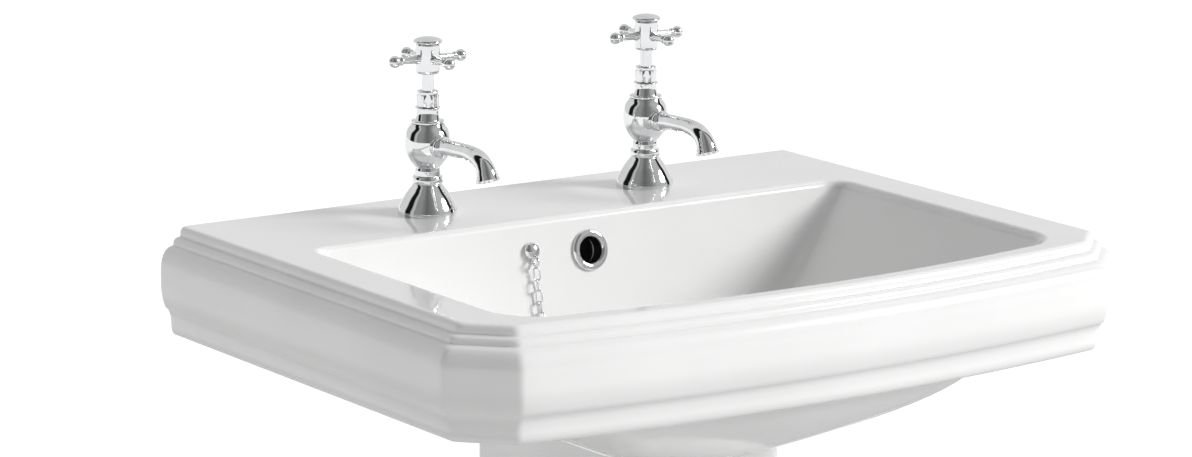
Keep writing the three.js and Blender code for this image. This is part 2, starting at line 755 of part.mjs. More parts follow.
function indexCapGeometry() {
  const rim = HUB_TOP + GAP;
  const spigot = CAP_SOCKET - GAP;
  const dome = rim + 1;
  return turned([
    [0, HUB_TOP - 2.6],
    [spigot, HUB_TOP - 2.6],
    [spigot, rim],
    [CAP_RADIUS, rim],
    [CAP_RADIUS, dome + 0.4],
    [CAP_RADIUS * 0.75, dome + CAP_DOME * 0.7],
    [CAP_RADIUS * 0.4, dome + CAP_DOME * 0.95],
    [0, dome + CAP_DOME],
  ]);
}

function handleScrewGeometry() {
  const seat = SCREW_SEAT + GAP;
  const shank = 1.6; // radius
  const head = 4.4; // radius
  return turned([
    [0, SPINDLE_HEAD - 8],
    [shank, SPINDLE_HEAD - 8],
    [shank, seat],
    [head, seat],
    [head, seat + 2],
    [0, seat + 2],
  ], 12);
}

const TOP_HAT_FLANGE = 4;

function topHatGeometry() {
  const inner = TAIL_RADIUS + SLOP;
  const under = -DECK - GAP;
  const outer = 25; // radius of the flange under the basin
  const spigotTop = -6;
  return turned([
    [inner, under - TOP_HAT_FLANGE],
    [outer, under - TOP_HAT_FLANGE],
    [outer, under],
    [TAP_HOLE - SLOP, under],
    [TAP_HOLE - SLOP, spigotTop],
    [inner, spigotTop],
  ]);
}

function tapBacknutGeometry() {
  const flats = 32;
  const top = -DECK - TOP_HAT_FLANGE - 2 * GAP;
  return hexNut(flats, TAIL_RADIUS + GAP, top - 8.3, top);
}

// ---------------------------------------------------------------- waste and plug

const TUBE_END = -BOWL_DEPTH - WASTE_LENGTH;
const FLANGE_UNDER = -BOWL_DEPTH + WASTE_SEAL_TOP + 2 * GAP;
const PLUG_LEVEL = FLANGE_UNDER + WASTE_FLANGE_THICK;
const BOSS_UNDER = -BOWL_DEPTH - BOSS_DROP;

function wasteGeometry() {
  const body = turned([
    [WASTE_BORE, TUBE_END],
    [WASTE_TUBE, TUBE_END],
    [WASTE_TUBE, FLANGE_UNDER],
    [WASTE_FLANGE - 1, FLANGE_UNDER],
    [WASTE_FLANGE, FLANGE_UNDER + 0.8],
    [WASTE_FLANGE - 1.5, FLANGE_UNDER + 1.8],
    [PLUG_TOP + 3.5, PLUG_LEVEL],
    [PLUG_TOP + GAP, PLUG_LEVEL - 0.6],
    [WASTE_BORE, PLUG_LEVEL - PLUG_HEIGHT + 1],
  ], 24);
  const slot = new THREE.BoxGeometry(14, 60, 8).translate(0, 0, CHANNEL_Z);
  return cut(body, slot);
}

function plugBodyGeometry() {
  const top = PLUG_TOP - 0.7; // radius
  return turned([
    [0, PLUG_LEVEL - PLUG_HEIGHT],
    [WASTE_BORE - 1.2, PLUG_LEVEL - PLUG_HEIGHT],
    [top, PLUG_LEVEL],
    [top, PLUG_LEVEL + 1],
    [0, PLUG_LEVEL + 1],
  ], 24);
}

function plugCapGeometry() {
  const bottom = PLUG_LEVEL + 1 + GAP;
  return turned([
    [0, bottom],
    [PLUG_TOP - 1.4, bottom],
    [PLUG_TOP - 1.4, bottom + 0.7],
    [PLUG_TOP * 0.6, bottom + 1.9],
    [5, bottom + 2.3],
    [4, bottom + 4.7],
    [0, bottom + 5.1],
  ], 24);
}

const PLUG_RING_Z = PLUG_LEVEL + 11.9;
function plugRingGeometry() {
  const bend = new THREE.TorusGeometry(PLUG_RING, PLUG_RING_THICK, 8, 16);
  return bend.rotateX(Math.PI / 2).translate(0, 0, PLUG_RING_Z);
}

// ---------------------------------------------------------------- chain

// The chain hangs down the rear wall from its stay, lies over the bowl's floor in a lazy bend,
// and rises to the plug's ring.
const CHAIN_DOWN_WALL = [[0.3, -52], [1.5, -74]]; // [sideways from the stay, height]
const CHAIN_ON_FLOOR = [
  [-49, -152],
  [-45, -166],
  [-37, -184],
  [-33, -203],
  [-44, -221],
  [-62, -235],
  [-67, -253],
  [-54, -269],
  [-37, -265],
];
const CHAIN_TO_PLUG = [[-23, -20, -6.4], [-13, -11.5, -1.6], [-4.2, -4.8, 1.9]]; // from the plug's ring

const STAY_EYE_BEND = 3.3; // radius of the eye that the chain hangs from
const STAY_EYE = new THREE.Vector3(0, -CHAIN_STAY_RADIUS - 1.6, 4.9); // its middle, on the stay

function chainPoints() {
  const ceramic = new THREE.Mesh(
    new LoftGeometry(bowlInside()),
    new THREE.MeshBasicMaterial({ side: THREE.DoubleSide }),
  );
  const from = new THREE.Raycaster();
  const restingOn = (origin, direction) => {
    from.set(origin, direction);
    const hit = from.intersectObject(ceramic)[0];
    const normal = hit.face.normal.clone();
    if (normal.dot(direction) > 0) normal.negate();
    return hit.point.clone().addScaledVector(normal, CHAIN_LIFT);
  };
  const back = new THREE.Vector3(0, 1, 0);
  const down = new THREE.Vector3(0, 0, -1);
  const eye = onRearWall(new THREE.BufferGeometry().setFromPoints([STAY_EYE]), CHAIN_STAY_X, CHAIN_STAY_Z);
  const start = new THREE.Vector3().fromBufferAttribute(eye.getAttribute("position"), 0);
  return [
    start.add(new THREE.Vector3(0, -0.8, -STAY_EYE_BEND - 2)),
    ...CHAIN_DOWN_WALL.map(([x, z]) =>
      restingOn(new THREE.Vector3(CHAIN_STAY_X + x, DRAIN_Y, z), back),
    ),
    ...CHAIN_ON_FLOOR.map(([x, y]) => restingOn(new THREE.Vector3(x, y, 0), down)),
    ...CHAIN_TO_PLUG.map(([x, y, up]) => new THREE.Vector3(x, DRAIN_Y + y, PLUG_RING_Z + up)),
  ];
}

function chainGeometry() {
  const path = new THREE.CatmullRomCurve3(chainPoints());
  const section = new THREE.Shape();
  section.absarc(0, 0, CHAIN_RADIUS, 0, 2 * Math.PI);
  const round = new THREE.Shape(section.getPoints(8).slice(0, 8));
  return new THREE.ExtrudeGeometry(round, { steps: 44, extrudePath: path, bevelEnabled: false });
}

// The chain stay: a domed boss on a stud through the bowl's rear wall, with an eye below.

function chainStayGeometry() {
  const studEnd = -REAR_THICK - 8;
  const dome = turned([
    [0, studEnd],
    [CHAIN_STUD, studEnd],
    [CHAIN_STUD, GAP],
    [CHAIN_STAY_RADIUS, GAP],
    [CHAIN_STAY_RADIUS, 2],
    [CHAIN_STAY_RADIUS * 0.8, 4],
    [CHAIN_STAY_RADIUS * 0.4, 5.2],
    [0, 5.5],
  ]);
  const eye = new THREE.TorusGeometry(STAY_EYE_BEND, 1, 8, 12).rotateY(Math.PI / 2);
  eye.translate(STAY_EYE.x, STAY_EYE.y, STAY_EYE.z);
  return onRearWall(join(dome, eye), CHAIN_STAY_X, CHAIN_STAY_Z);
}

function stayNutGeometry() {
  const nut = hexNut(10, CHAIN_STUD + GAP, -REAR_THICK - 5, -REAR_THICK - 1);
  return onRearWall(nut, CHAIN_STAY_X, CHAIN_STAY_Z);
}

// The overflow's ring: bevelled, with a short spigot in the hole.
function overflowRingGeometry() {
  const spigot = OVERFLOW_HOLE - 0.5; // radius
  const inner = OVERFLOW_HOLE - 2;
  const made = turned([
    [inner, -9],
    [spigot, -9],
    [spigot, GAP],
    [OVERFLOW_RING, GAP],
    [OVERFLOW_RING, 1.4],
    [OVERFLOW_RING - 1.6, 3],
    [inner + 0.8, 3.2],
    [inner, 2],
  ], 24);
  return onRearWall(made, 0, OVERFLOW_Z);
}

// ---------------------------------------------------------------- trap and waste pipe

const SHOULDER = TUBE_END - TRAP_NECK;
const PIPE_Z = SHOULDER - OUTLET_DROP; // the outlet's axis
const TRAP_BOTTOM = SHOULDER - TRAP_HEIGHT;
const INLET_RADIUS = WASTE_TUBE + 4; // of the trap's neck, under its nut
const OUTLET_RADIUS = PIPE_RADIUS + 2.6;
const OUTLET_END = TRAP_RADIUS + OUTLET_REACH; // from the trap's axis
const INLET_TOP = TUBE_END - 4;

function trapBodyGeometry() {
  const dipBore = DIP_RADIUS - 2;
  const inside = TRAP_RADIUS - TRAP_WALL;
  const body = turned([
    [dipBore, TRAP_BOTTOM - DIP_BELOW],
    [DIP_RADIUS, TRAP_BOTTOM - DIP_BELOW],
    [DIP_RADIUS, SHOULDER - TRAP_WALL],
    [inside, SHOULDER - 5],
    [inside, TRAP_BOTTOM],
    [TRAP_RADIUS, TRAP_BOTTOM],
    [TRAP_RADIUS, SHOULDER - 2],
    [TRAP_RADIUS - 2, SHOULDER],
    [INLET_RADIUS, SHOULDER],
    [INLET_RADIUS, INLET_TOP],
    [INLET_RADIUS - 3, INLET_TOP],
    [INLET_RADIUS - 3, INLET_TOP - 6],
    [dipBore, INLET_TOP - 10],
  ], 24);
  const outlet = facingBack(rod(OUTLET_RADIUS, inside - 1.4, OUTLET_END, 20));
  const bore = facingBack(rod(PIPE_RADIUS - PIPE_WALL, inside - 5, OUTLET_END + 8, 20));
  outlet.translate(0, 0, PIPE_Z);
  bore.translate(0, 0, PIPE_Z);
  return cut(join(body, outlet), bore);
}

function inletSealGeometry() {
  return ring(WASTE_TUBE + GAP, WASTE_TUBE + 3.6, INLET_TOP + GAP, TUBE_END + 2, 24);
}

function inletNutGeometry() {
  const web = TUBE_END + 2 + GAP; // underside of the nut's top
  return turned([
    [WASTE_TUBE + GAP, web + 3],
    [INLET_RADIUS + 3.2, web + 3],
    [INLET_RADIUS + 3.2, web - 20],
    [INLET_RADIUS + SLOP, web - 20],
    [INLET_RADIUS + SLOP, web],
    [WASTE_TUBE + GAP, web],
  ], 24);
}

function trapCupGeometry() {
  const outer = TRAP_RADIUS + 3;
  const step = TRAP_BOTTOM - 2 - 2 * GAP; // the seal lies on this step
  const under = TRAP_BOTTOM - CUP_DEPTH;
  return turned([
    [0, under],
    [TRAP_RADIUS - 6, under],
    [outer, under + 8],
    [outer, TRAP_BOTTOM + CUP_OVERLAP],
    [TRAP_RADIUS + GAP, TRAP_BOTTOM + CUP_OVERLAP],
    [TRAP_RADIUS + GAP, step],
    [TRAP_RADIUS - 3, step],
    [TRAP_RADIUS - 3, under + 10],
    [TRAP_RADIUS - 8, under + 3],
    [0, under + 3],
  ], 24);
}

function cupSealGeometry() {
  const top = TRAP_BOTTOM - GAP;
  return ring(TRAP_RADIUS - 3, TRAP_RADIUS - 0.2, top - 2, top, 24);
}

// The pipe, its seal and its nut are made along +Y from the outlet's end.
function wastePipeGeometry() {
  const length = -DRAIN_Y - OUTLET_END - GAP;
  return facingBack(ring(PIPE_RADIUS - PIPE_WALL, PIPE_RADIUS, 0, length, 20));
}

const OUTLET_SEAL = 5; // its length along the pipe

function outletSealGeometry() {
  return facingBack(ring(PIPE_RADIUS + GAP, PIPE_RADIUS + 3, 0, OUTLET_SEAL, 20));
}

function outletNutGeometry() {
  const web = OUTLET_SEAL + 1;
  return facingBack(turned([
    [PIPE_RADIUS + GAP, web],
    [PIPE_RADIUS + GAP, web + 3],
    [OUTLET_RADIUS + 4.4, web + 3],
    [OUTLET_RADIUS + 4.4, -16],
    [OUTLET_RADIUS + 0.8, -16],
    [OUTLET_RADIUS + 0.8, web],
  ], 20));
}

// ---------------------------------------------------------------- fixings

function wallBoltGeometry() {
  return facingFront(rod(BOLT_RADIUS, 0, BOLT_REACH, 12));
}

function wallWasherGeometry() {
  return facingFront(ring(BOLT_RADIUS + GAP, 14, SKIRT_WALL + GAP, SKIRT_WALL + 3));
}

function wallNutGeometry() {
  const bottom = SKIRT_WALL + 3 + GAP;
  return facingFront(hexNut(BOLT_NUT, BOLT_RADIUS + GAP, bottom, bottom + 6.6));
}

function floorScrewGeometry() {
  const seat = LUG_THICK + 2 + GAP;
  const head = 5.5; // radius
  return turned([
    [0, 0],
    [SCREW_RADIUS, 0],
    [SCREW_RADIUS, seat],
    [head, seat],
    [head - 0.5, seat + 3],
    [0, seat + 3.4],
  ], 12);
}

function floorWasherGeometry() {
  return ring(SCREW_RADIUS + GAP, 9, LUG_THICK + GAP, LUG_THICK + 2);
}

// ---------------------------------------------------------------- assembly

const depth = TOP_DEPTH + FRONT_BOW + MOULDING_OUT;
const sink = new THREE.Group();
sink.position.set(0, depth / 2, 0);
const top = new THREE.Group();
top.position.set(0, 0, RIM_HEIGHT);
sink.add(top);

function part(name, geometry, material, [x, y, z] = [0, 0, 0], parent = top) {
  const mesh = new THREE.Mesh(geometry, material);
  mesh.name = name;
  mesh.position.set(x, y, z);
  parent.add(mesh);
}

part("basin", basinGeometry(), CERAMIC);
part("pedestal", pedestalGeometry(), CERAMIC, [0, 0, 0], sink);

for (const [side, x] of [["left", -TAP_X], ["right", TAP_X]]) {
  const place = [x, TAP_Y, 0];
  const seal = ring(TAIL_RADIUS + 1, FOOT_RADIUS - FOOT_LIP - SLOP, GAP, GAP + SEAL_THICK);
  part(`${side}_tap_body`, tapBodyGeometry(), CHROME, place);
  part(`${side}_spout`, spoutGeometry(), CHROME, place);
  part(`${side}_headgear`, headgearGeometry(), CHROME, place);
  part(`${side}_gland_nut`, glandNutGeometry(), CHROME, place);
  part(`${side}_gland_packing`, packingGeometry(), RUBBER, place);
  part(`${side}_spindle`, spindleGeometry(), CHROME, place);
  part(`${side}_jumper_valve`, jumperGeometry(), BRASS, place);
  part(`${side}_tap_washer`, tapWasherGeometry(), RUBBER, place);
  part(`${side}_cross_handle`, handleGeometry(), CHROME, place);
  part(`${side}_index_cap`, indexCapGeometry(), CHROME, place);
  part(`${side}_handle_screw`, handleScrewGeometry(), STEEL, place);
  part(`${side}_base_seal`, seal, RUBBER, place);
  part(`${side}_top_hat_washer`, topHatGeometry(), WHITE_PLASTIC, place);
  part(`${side}_backnut`, tapBacknutGeometry(), BRASS, place);
}

const drain = [0, DRAIN_Y, 0];
const flangeSealTop = -BOWL_DEPTH + GAP + WASTE_SEAL_TOP;
const flangeSeal = ring(WASTE_TUBE + GAP, DRAIN_SEAT - 4, -BOWL_DEPTH + GAP, flangeSealTop, 24);
const underSealBottom = BOSS_UNDER - GAP - WASTE_SEAL_UNDER;
const underSeal = ring(WASTE_TUBE + GAP, BOSS_RADIUS - 7, underSealBottom, BOSS_UNDER - GAP, 24);
const wasteNutTop = underSealBottom - GAP;
const wasteNut = hexNut(WASTE_NUT, WASTE_TUBE + GAP, wasteNutTop - 9.4, wasteNutTop, 24);
part("waste_body", wasteGeometry(), CHROME, drain);
part("waste_flange_seal", flangeSeal, RUBBER, drain);
part("waste_under_seal", underSeal, RUBBER, drain);
part("waste_backnut", wasteNut, BRASS, drain);
part("overflow_ring", overflowRingGeometry(), CHROME);
part("chain_stay", chainStayGeometry(), CHROME);
part("chain_stay_nut", stayNutGeometry(), BRASS);
part("plug_body", plugBodyGeometry(), RUBBER, drain);
part("plug_cap", plugCapGeometry(), CHROME, drain);
part("plug_ring", plugRingGeometry(), CHROME, drain);
part("plug_chain", chainGeometry(), CHROME);

const outlet = [0, DRAIN_Y + OUTLET_END + GAP, PIPE_Z];
part("trap_body", trapBodyGeometry(), WHITE_PLASTIC, drain);
part("trap_inlet_seal", inletSealGeometry(), RUBBER, drain);
part("trap_inlet_nut", inletNutGeometry(), WHITE_PLASTIC, drain);
part("trap_cup", trapCupGeometry(), WHITE_PLASTIC, drain);
part("trap_cup_seal", cupSealGeometry(), RUBBER, drain);
part("waste_pipe", wastePipeGeometry(), WHITE_PLASTIC, outlet);
part("trap_outlet_seal", outletSealGeometry(), RUBBER, outlet);
part("trap_outlet_nut", outletNutGeometry(), WHITE_PLASTIC, outlet);

for (const [side, way] of [["left", -1], ["right", 1]]) {
  const wall = [way * BOLT_X, 0, BOLT_Z];
  const floor = [way * LUG_X, LUG_Y, 0];
  part(`${side}_wall_bolt`, wallBoltGeometry(), STEEL, wall);
  part(`${side}_wall_washer`, wallWasherGeometry(), WHITE_PLASTIC, wall);
  part(`${side}_wall_nut`, wallNutGeometry(), STEEL, wall);
  part(`${side}_floor_screw`, floorScrewGeometry(), STEEL, floor, sink);
  part(`${side}_floor_washer`, floorWasherGeometry(), WHITE_PLASTIC, floor, sink);
}

export default sink;
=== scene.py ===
# %% [markdown]
# # A pedestal washbasin
# The real thing is a white glazed basin on a hollow column, with two chromed crosshead taps,
# a plug on a chain, and plumbing out of sight. Its solids are already made and measured, so
# this notebook only builds what the eye sees: finer surfaces in the same places, their
# finishes, soft light and a camera. Each piece is a grid of points worked out with numpy.

import json

import bpy
import numpy as np
from mathutils import Matrix, Vector
from mathutils.bvhtree import BVHTree


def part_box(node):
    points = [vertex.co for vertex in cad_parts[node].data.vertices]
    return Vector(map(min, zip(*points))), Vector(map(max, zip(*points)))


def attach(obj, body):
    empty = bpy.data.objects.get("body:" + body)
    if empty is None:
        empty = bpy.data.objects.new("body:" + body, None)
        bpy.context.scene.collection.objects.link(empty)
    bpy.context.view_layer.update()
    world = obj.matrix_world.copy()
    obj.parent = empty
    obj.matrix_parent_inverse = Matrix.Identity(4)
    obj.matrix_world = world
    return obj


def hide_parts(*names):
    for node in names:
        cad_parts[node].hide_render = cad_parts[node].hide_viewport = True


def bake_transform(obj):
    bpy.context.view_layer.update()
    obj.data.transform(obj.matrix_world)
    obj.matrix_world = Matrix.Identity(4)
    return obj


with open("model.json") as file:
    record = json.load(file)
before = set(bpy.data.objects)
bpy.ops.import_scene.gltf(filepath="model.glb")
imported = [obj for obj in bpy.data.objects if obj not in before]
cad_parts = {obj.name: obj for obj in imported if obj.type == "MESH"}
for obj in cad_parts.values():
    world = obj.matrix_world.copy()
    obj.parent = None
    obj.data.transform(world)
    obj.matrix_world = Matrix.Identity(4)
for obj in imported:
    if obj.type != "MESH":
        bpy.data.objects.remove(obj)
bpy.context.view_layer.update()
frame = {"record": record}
basin_low, basin_high = (np.array(corner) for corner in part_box("basin"))

# %% [markdown]
# Makers draw a basin in millimetres, from the wall forwards and from the rim up or down. The
# same is done here, and one function carries such points into the frame.

# %% From the wall and the rim to the frame
MM = 0.001
WALL = basin_high[1]
RIM = basin_high[2]


def placed(points):
    """Millimetres from the wall and the rim, times 0.001, moved to the wall and the rim."""
    return np.asarray(points, float) * MM + (0.0, WALL, RIM)


TAP_X = {}
for side in ("left", "right"):
    low, high = (np.array(corner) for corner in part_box(f"{side}_headgear"))
    TAP_X[side] = (low[0] + high[0]) / 2 / MM
TAP_Y = ((low[1] + high[1]) / 2 - WALL) / MM
print("taps stand at", TAP_X, "and", round(TAP_Y, 1), "from the wall")

# %% [markdown]
# ## The camera
# The basin is seen from the left front and a little above, through a long lens, so that its
# lines stay nearly parallel. The camera comes first.

# %% Camera
YAW, PITCH, ROLL = np.radians((35.08, -11.91, 0.53))
ahead = Vector((np.sin(YAW) * np.cos(PITCH), np.cos(YAW) * np.cos(PITCH), np.sin(PITCH)))
level = Vector((np.cos(YAW), -np.sin(YAW), 0.0))
upward = level.cross(ahead)
right = level * np.cos(ROLL) + upward * np.sin(ROLL)
over = upward * np.cos(ROLL) - level * np.sin(ROLL)
lens = bpy.data.cameras.new("camera")
lens.sensor_width = 36.0
lens.lens = 137.93
lens.clip_end = 100.0
camera = bpy.data.objects.new("camera", lens)
axes = Matrix((right, over, -ahead)).transposed().to_4x4()
camera.matrix_world = Matrix.Translation(Vector((-1.9336, -2.6670, 1.5500))) @ axes
bpy.context.collection.objects.link(camera)
bpy.context.scene.camera = camera

# %% [markdown]
# ## Surfaces from grids
# Nearly every piece here is a grid of points: rings that follow one another, or a profile
# turned round an axis, or a section carried along a path. One helper turns any such grid
# into a mesh. A row whose points all meet is a pole, and its squares become triangles.

# %% A grid of points becomes a mesh
def mesh_of(name, points, faces, sharp=35.0):
    """One mesh object at the origin: shaded smooth, but creased where faces meet sharply."""
    mesh = bpy.data.meshes.new(name)
    mesh.from_pydata(points.tolist(), [], faces)
    mesh.validate()
    mesh.shade_smooth()
    mesh.set_sharp_from_angle(angle=np.radians(sharp))
    piece = bpy.data.objects.new(name, mesh)
    bpy.context.collection.objects.link(piece)
    return piece


def squares(rows, columns, wrap_rows=False, wrap_columns=True):
    """Point i,j joins its neighbours i+1 and j+1, counted round where the grid closes."""
    index = np.arange(rows * columns).reshape(rows, columns)
    below = np.roll(index, -1, 0) if wrap_rows else index[1:]
    above = index if wrap_rows else index[:-1]
    corners = [above, np.roll(above, -1, 1), np.roll(below, -1, 1), below]
    if not wrap_columns:
        corners = [corner[:, :-1] for corner in corners]
    return np.stack(corners, -1).reshape(-1, 4)


def facing_out(points, faces):
    """The volume inside a closed surface is the sum of a . (b x c) / 6 over its triangles
    a, b, c. If it comes out negative the faces look inwards, and each one is turned over."""
    fans = np.array([(face[0], *pair) for face in faces for pair in zip(face[1:-1], face[2:])])
    a, b, c = (points[fans[:, corner]] - points[0] for corner in range(3))
    if np.sum(a * np.cross(b, c)) < 0:
        faces = [face[::-1] for face in faces]
    return points, faces


def skin(grid, wrap_rows=False, caps=False):
    """Points and faces of a grid of rings. Rings that have shrunk to a point share one
    vertex, and with caps the first and last rings are filled by one flat face each."""
    rows, columns, _ = grid.shape
    quads = squares(rows, columns, wrap_rows)
    poles = [r for r in (0, rows - 1) if np.ptp(grid[r], 0).max() < 1e-7]
    for row in poles:
        first = row * columns
        quads = np.where((quads >= first) & (quads < first + columns), first, quads)
    points = grid.reshape(-1, 3)
    doubled = (quads == np.roll(quads, -1, 1)).any(1)
    faces = quads[~doubled].tolist()
    thin = quads[doubled]
    if len(thin):
        keep = thin != np.roll(thin, -1, 1)
        faces += thin[keep].reshape(-1, 3).tolist()
    if caps:
        faces.append(list(range(columns))[::-1])
        faces.append(list(range((rows - 1) * columns, rows * columns)))
    used = np.unique(np.concatenate([np.ravel(face) for face in faces]))
    renumber = np.zeros(len(points), int)
    renumber[used] = np.arange(len(used))
    return facing_out(points[used], [renumber[np.array(face)].tolist() for face in faces])


def shell(name, grid, wrap_rows=False, caps=False, sharp=35.0):
    points, faces = skin(grid, wrap_rows, caps)
    return mesh_of(name, points, faces, sharp)


def together(name, parts, sharp=35.0):
    """Several grids in one mesh: each one's faces count on from the points before it."""
    points, faces, start = [], [], 0
    for own_points, own_faces in parts:
        points.append(own_points)
        faces += [[start + v for v in face] for face in own_faces]
        start += len(own_points)
    return mesh_of(name, np.concatenate(points), faces, sharp)


# %% [markdown]
# Profiles are drawn as a draughtsman does: straight runs whose corners are rounded, or a
# smooth line through a few points.

# %% Lines and profiles
def rounded(corners, steps=5):
    """Each corner is [across, up, radius]. It is replaced by a curve from one radius before
    it to one radius after it, whose weights are (1-t)^2, 2t(1-t) and t^2."""
    corners = np.array([(*c, 0.0)[:3] for c in corners], float)
    place, radius = corners[:, :2], corners[:, 2:]
    before, after = np.roll(place, 1, 0) - place, np.roll(place, -1, 0) - place
    before /= np.maximum(np.linalg.norm(before, axis=1, keepdims=True), 1e-9)
    after /= np.maximum(np.linalg.norm(after, axis=1, keepdims=True), 1e-9)
    t = np.linspace(0, 1, steps)[None, :, None]
    start, end = (place + before * radius)[:, None], (place + after * radius)[:, None]
    line = (1 - t) ** 2 * start + 2 * t * (1 - t) * place[:, None] + t**2 * end
    line = line.reshape(-1, 2)
    apart = np.linalg.norm(np.diff(line, axis=0), axis=1) > 1e-6
    return line[np.concatenate(([True], apart))]


def through(points, steps=8):
    """A smooth line through the points: the centripetal Catmull-Rom curve, whose knots are
    spaced by the square root of the distance between points."""
    points = np.asarray(points, float)
    first, last = 2 * points[0] - points[1], 2 * points[-1] - points[-2]
    p = np.concatenate(([first], points, [last]))
    gap = np.linalg.norm(np.diff(p, axis=0), axis=1) ** 0.5
    knot = np.concatenate(([0.0], np.cumsum(gap)))
    t0, t1, t2, t3 = (knot[i : len(knot) - 3 + i, None, None] for i in range(4))
    a, b, c, d = (p[i : len(p) - 3 + i, None, :] for i in range(4))
    t = t1 + (t2 - t1) * np.linspace(0, 1, steps, endpoint=False)[None, :, None]
    ab = (t1 - t) / (t1 - t0) * a + (t - t0) / (t1 - t0) * b
    bc = (t2 - t) / (t2 - t1) * b + (t - t1) / (t2 - t1) * c
    cd = (t3 - t) / (t3 - t2) * c + (t - t2) / (t3 - t2) * d
    abc = (t2 - t) / (t2 - t0) * ab + (t - t0) / (t2 - t0) * bc
    bcd = (t3 - t) / (t3 - t1) * bc + (t - t1) / (t3 - t1) * cd
    curve = (t2 - t) / (t2 - t1) * abc + (t - t1) / (t2 - t1) * bcd
    return np.concatenate((curve.reshape(-1, points.shape[1]), points[-1:]))


def curved(start, bend, end, steps=6):
    """From start to end, drawn towards bend: (1-t)^2 start + 2t(1-t) bend + t^2 end."""
    t = np.linspace(0, 1, steps)[:, None]
    start, bend, end = (np.asarray(p, float) for p in (start, bend, end))
    return (1 - t) ** 2 * start + 2 * t * (1 - t) * bend + t**2 * end


# %% Turned work
def turned(profile, segments=72):
    """A profile of [radius, height] turned about Z: x = r cos a, y = r sin a, z = height.
    A profile that doesn't start and end on the axis closes on itself."""
    profile = np.asarray(profile, float)
    angle = np.linspace(0, 2 * np.pi, segments, endpoint=False)
    radius, height = profile[:, :1], profile[:, 1:]
    ring = np.stack((radius * np.cos(angle), radius * np.sin(angle)), -1)
    grid = np.concatenate((ring, np.broadcast_to(height, radius.shape)[..., None].repeat(segments, 1)), -1)
    open_ended = profile[0, 0] < 1e-6 and profile[-1, 0] < 1e-6
    return skin(grid, wrap_rows=not open_ended)


def moved(part, x=0.0, y=0.0, z=0.0):
    points, faces = part
    return points + (x, y, z), faces


def tipped(part, axis, degrees):
    """The part's points turned about an axis through its origin."""
    points, faces = part
    turn = np.array(Matrix.Rotation(np.radians(degrees), 3, axis))
    return points @ turn.T, faces


def carried(path, radius, sides=24, up=(0.0, 0.0, 1.0), flat=1.0):
    """A round section carried along a path in millimetres: each ring's centre is a point of
    the path, and it stands square to the line between that point's neighbours."""
    path = np.asarray(path, float)
    radius = np.broadcast_to(np.asarray(radius, float), len(path))[:, None, None]
    along = np.gradient(path, axis=0)
    along /= np.linalg.norm(along, axis=1, keepdims=True)
    side = np.cross(along, np.asarray(up, float))
    side /= np.linalg.norm(side, axis=1, keepdims=True)
    top = np.cross(side, along)
    angle = np.linspace(0, 2 * np.pi, sides, endpoint=False)[None, :, None]
    spread = np.cos(angle) * side[:, None] + flat * np.sin(angle) * top[:, None]
    return path[:, None] - radius * spread


def in_frame(part):
    points, faces = part
    return placed(points), faces


# %% [markdown]
# ## Finishes
# Four finishes are seen: glazed ceramic, chrome, white plastic, and rubber, with brass and
# zinc-plated steel underneath. Each one is a Principled shader whose colour, roughness and
# bump come from noise on object coordinates, so that no surface is one dead flat colour.

# %% Shader helpers
def new_finish(name):
    material = bpy.data.materials.new(name)
    material.use_nodes = True
    tree = material.node_tree
    shader = next(n for n in tree.nodes if n.type == "BSDF_PRINCIPLED")
    place = tree.nodes.new("ShaderNodeTexCoord").outputs["Object"]
    return material, tree, shader, place


def noise(tree, place, scale, detail=3.0, rough=0.5, stretch=None):
    texture = tree.nodes.new("ShaderNodeTexNoise")
    texture.inputs["Scale"].default_value = scale
    texture.inputs["Detail"].default_value = detail
    texture.inputs["Roughness"].default_value = rough
    if stretch is not None:
        mapping = tree.nodes.new("ShaderNodeMapping")
        mapping.inputs["Scale"].default_value = stretch
        tree.links.new(place, mapping.inputs["Vector"])
        place = mapping.outputs["Vector"]
    tree.links.new(place, texture.inputs["Vector"])
    return texture.outputs["Fac"]


def spread(tree, value, low, high, at=(0.3, 0.7)):
    """Maps a noise value from the range `at` to the range low..high."""
    node = tree.nodes.new("ShaderNodeMapRange")
    node.inputs["From Min"].default_value, node.inputs["From Max"].default_value = at
    node.inputs["To Min"].default_value, node.inputs["To Max"].default_value = low, high
    tree.links.new(value, node.inputs["Value"])
    return node.outputs["Result"]


def between(tree, value, first, second):
    """A colour from first to second as the value goes from 0.3 to 0.7."""
    ramp = tree.nodes.new("ShaderNodeValToRGB")
    ramp.color_ramp.elements[0].position, ramp.color_ramp.elements[1].position = 0.3, 0.7
    ramp.color_ramp.elements[0].color = (*first, 1.0)
    ramp.color_ramp.elements[1].color = (*second, 1.0)
    tree.links.new(value, ramp.inputs["Fac"])
    return ramp.outputs["Color"]


def bumped(tree, shader, *layers):
    """Adds bump layers of (height, strength, distance in metres), the first one lowest."""
    normal = None
    for height, strength, distance in layers:
        node = tree.nodes.new("ShaderNodeBump")
        node.inputs["Strength"].default_value = strength
        node.inputs["Distance"].default_value = distance
        tree.links.new(height, node.inputs["Height"])
        if normal is not None:
            tree.links.new(normal, node.inputs["Normal"])
        normal = node.outputs["Normal"]
    tree.links.new(normal, shader.inputs["Normal"])


# %% [markdown]
# Vitreous china is fired with a thick clear glaze. It is nearly white, a little warmer where
# the glaze is thick, and its shine is wavy over a few centimetres with a very fine pitting.
# A coat on the shader is the glaze; slow noise under it gives the waves.

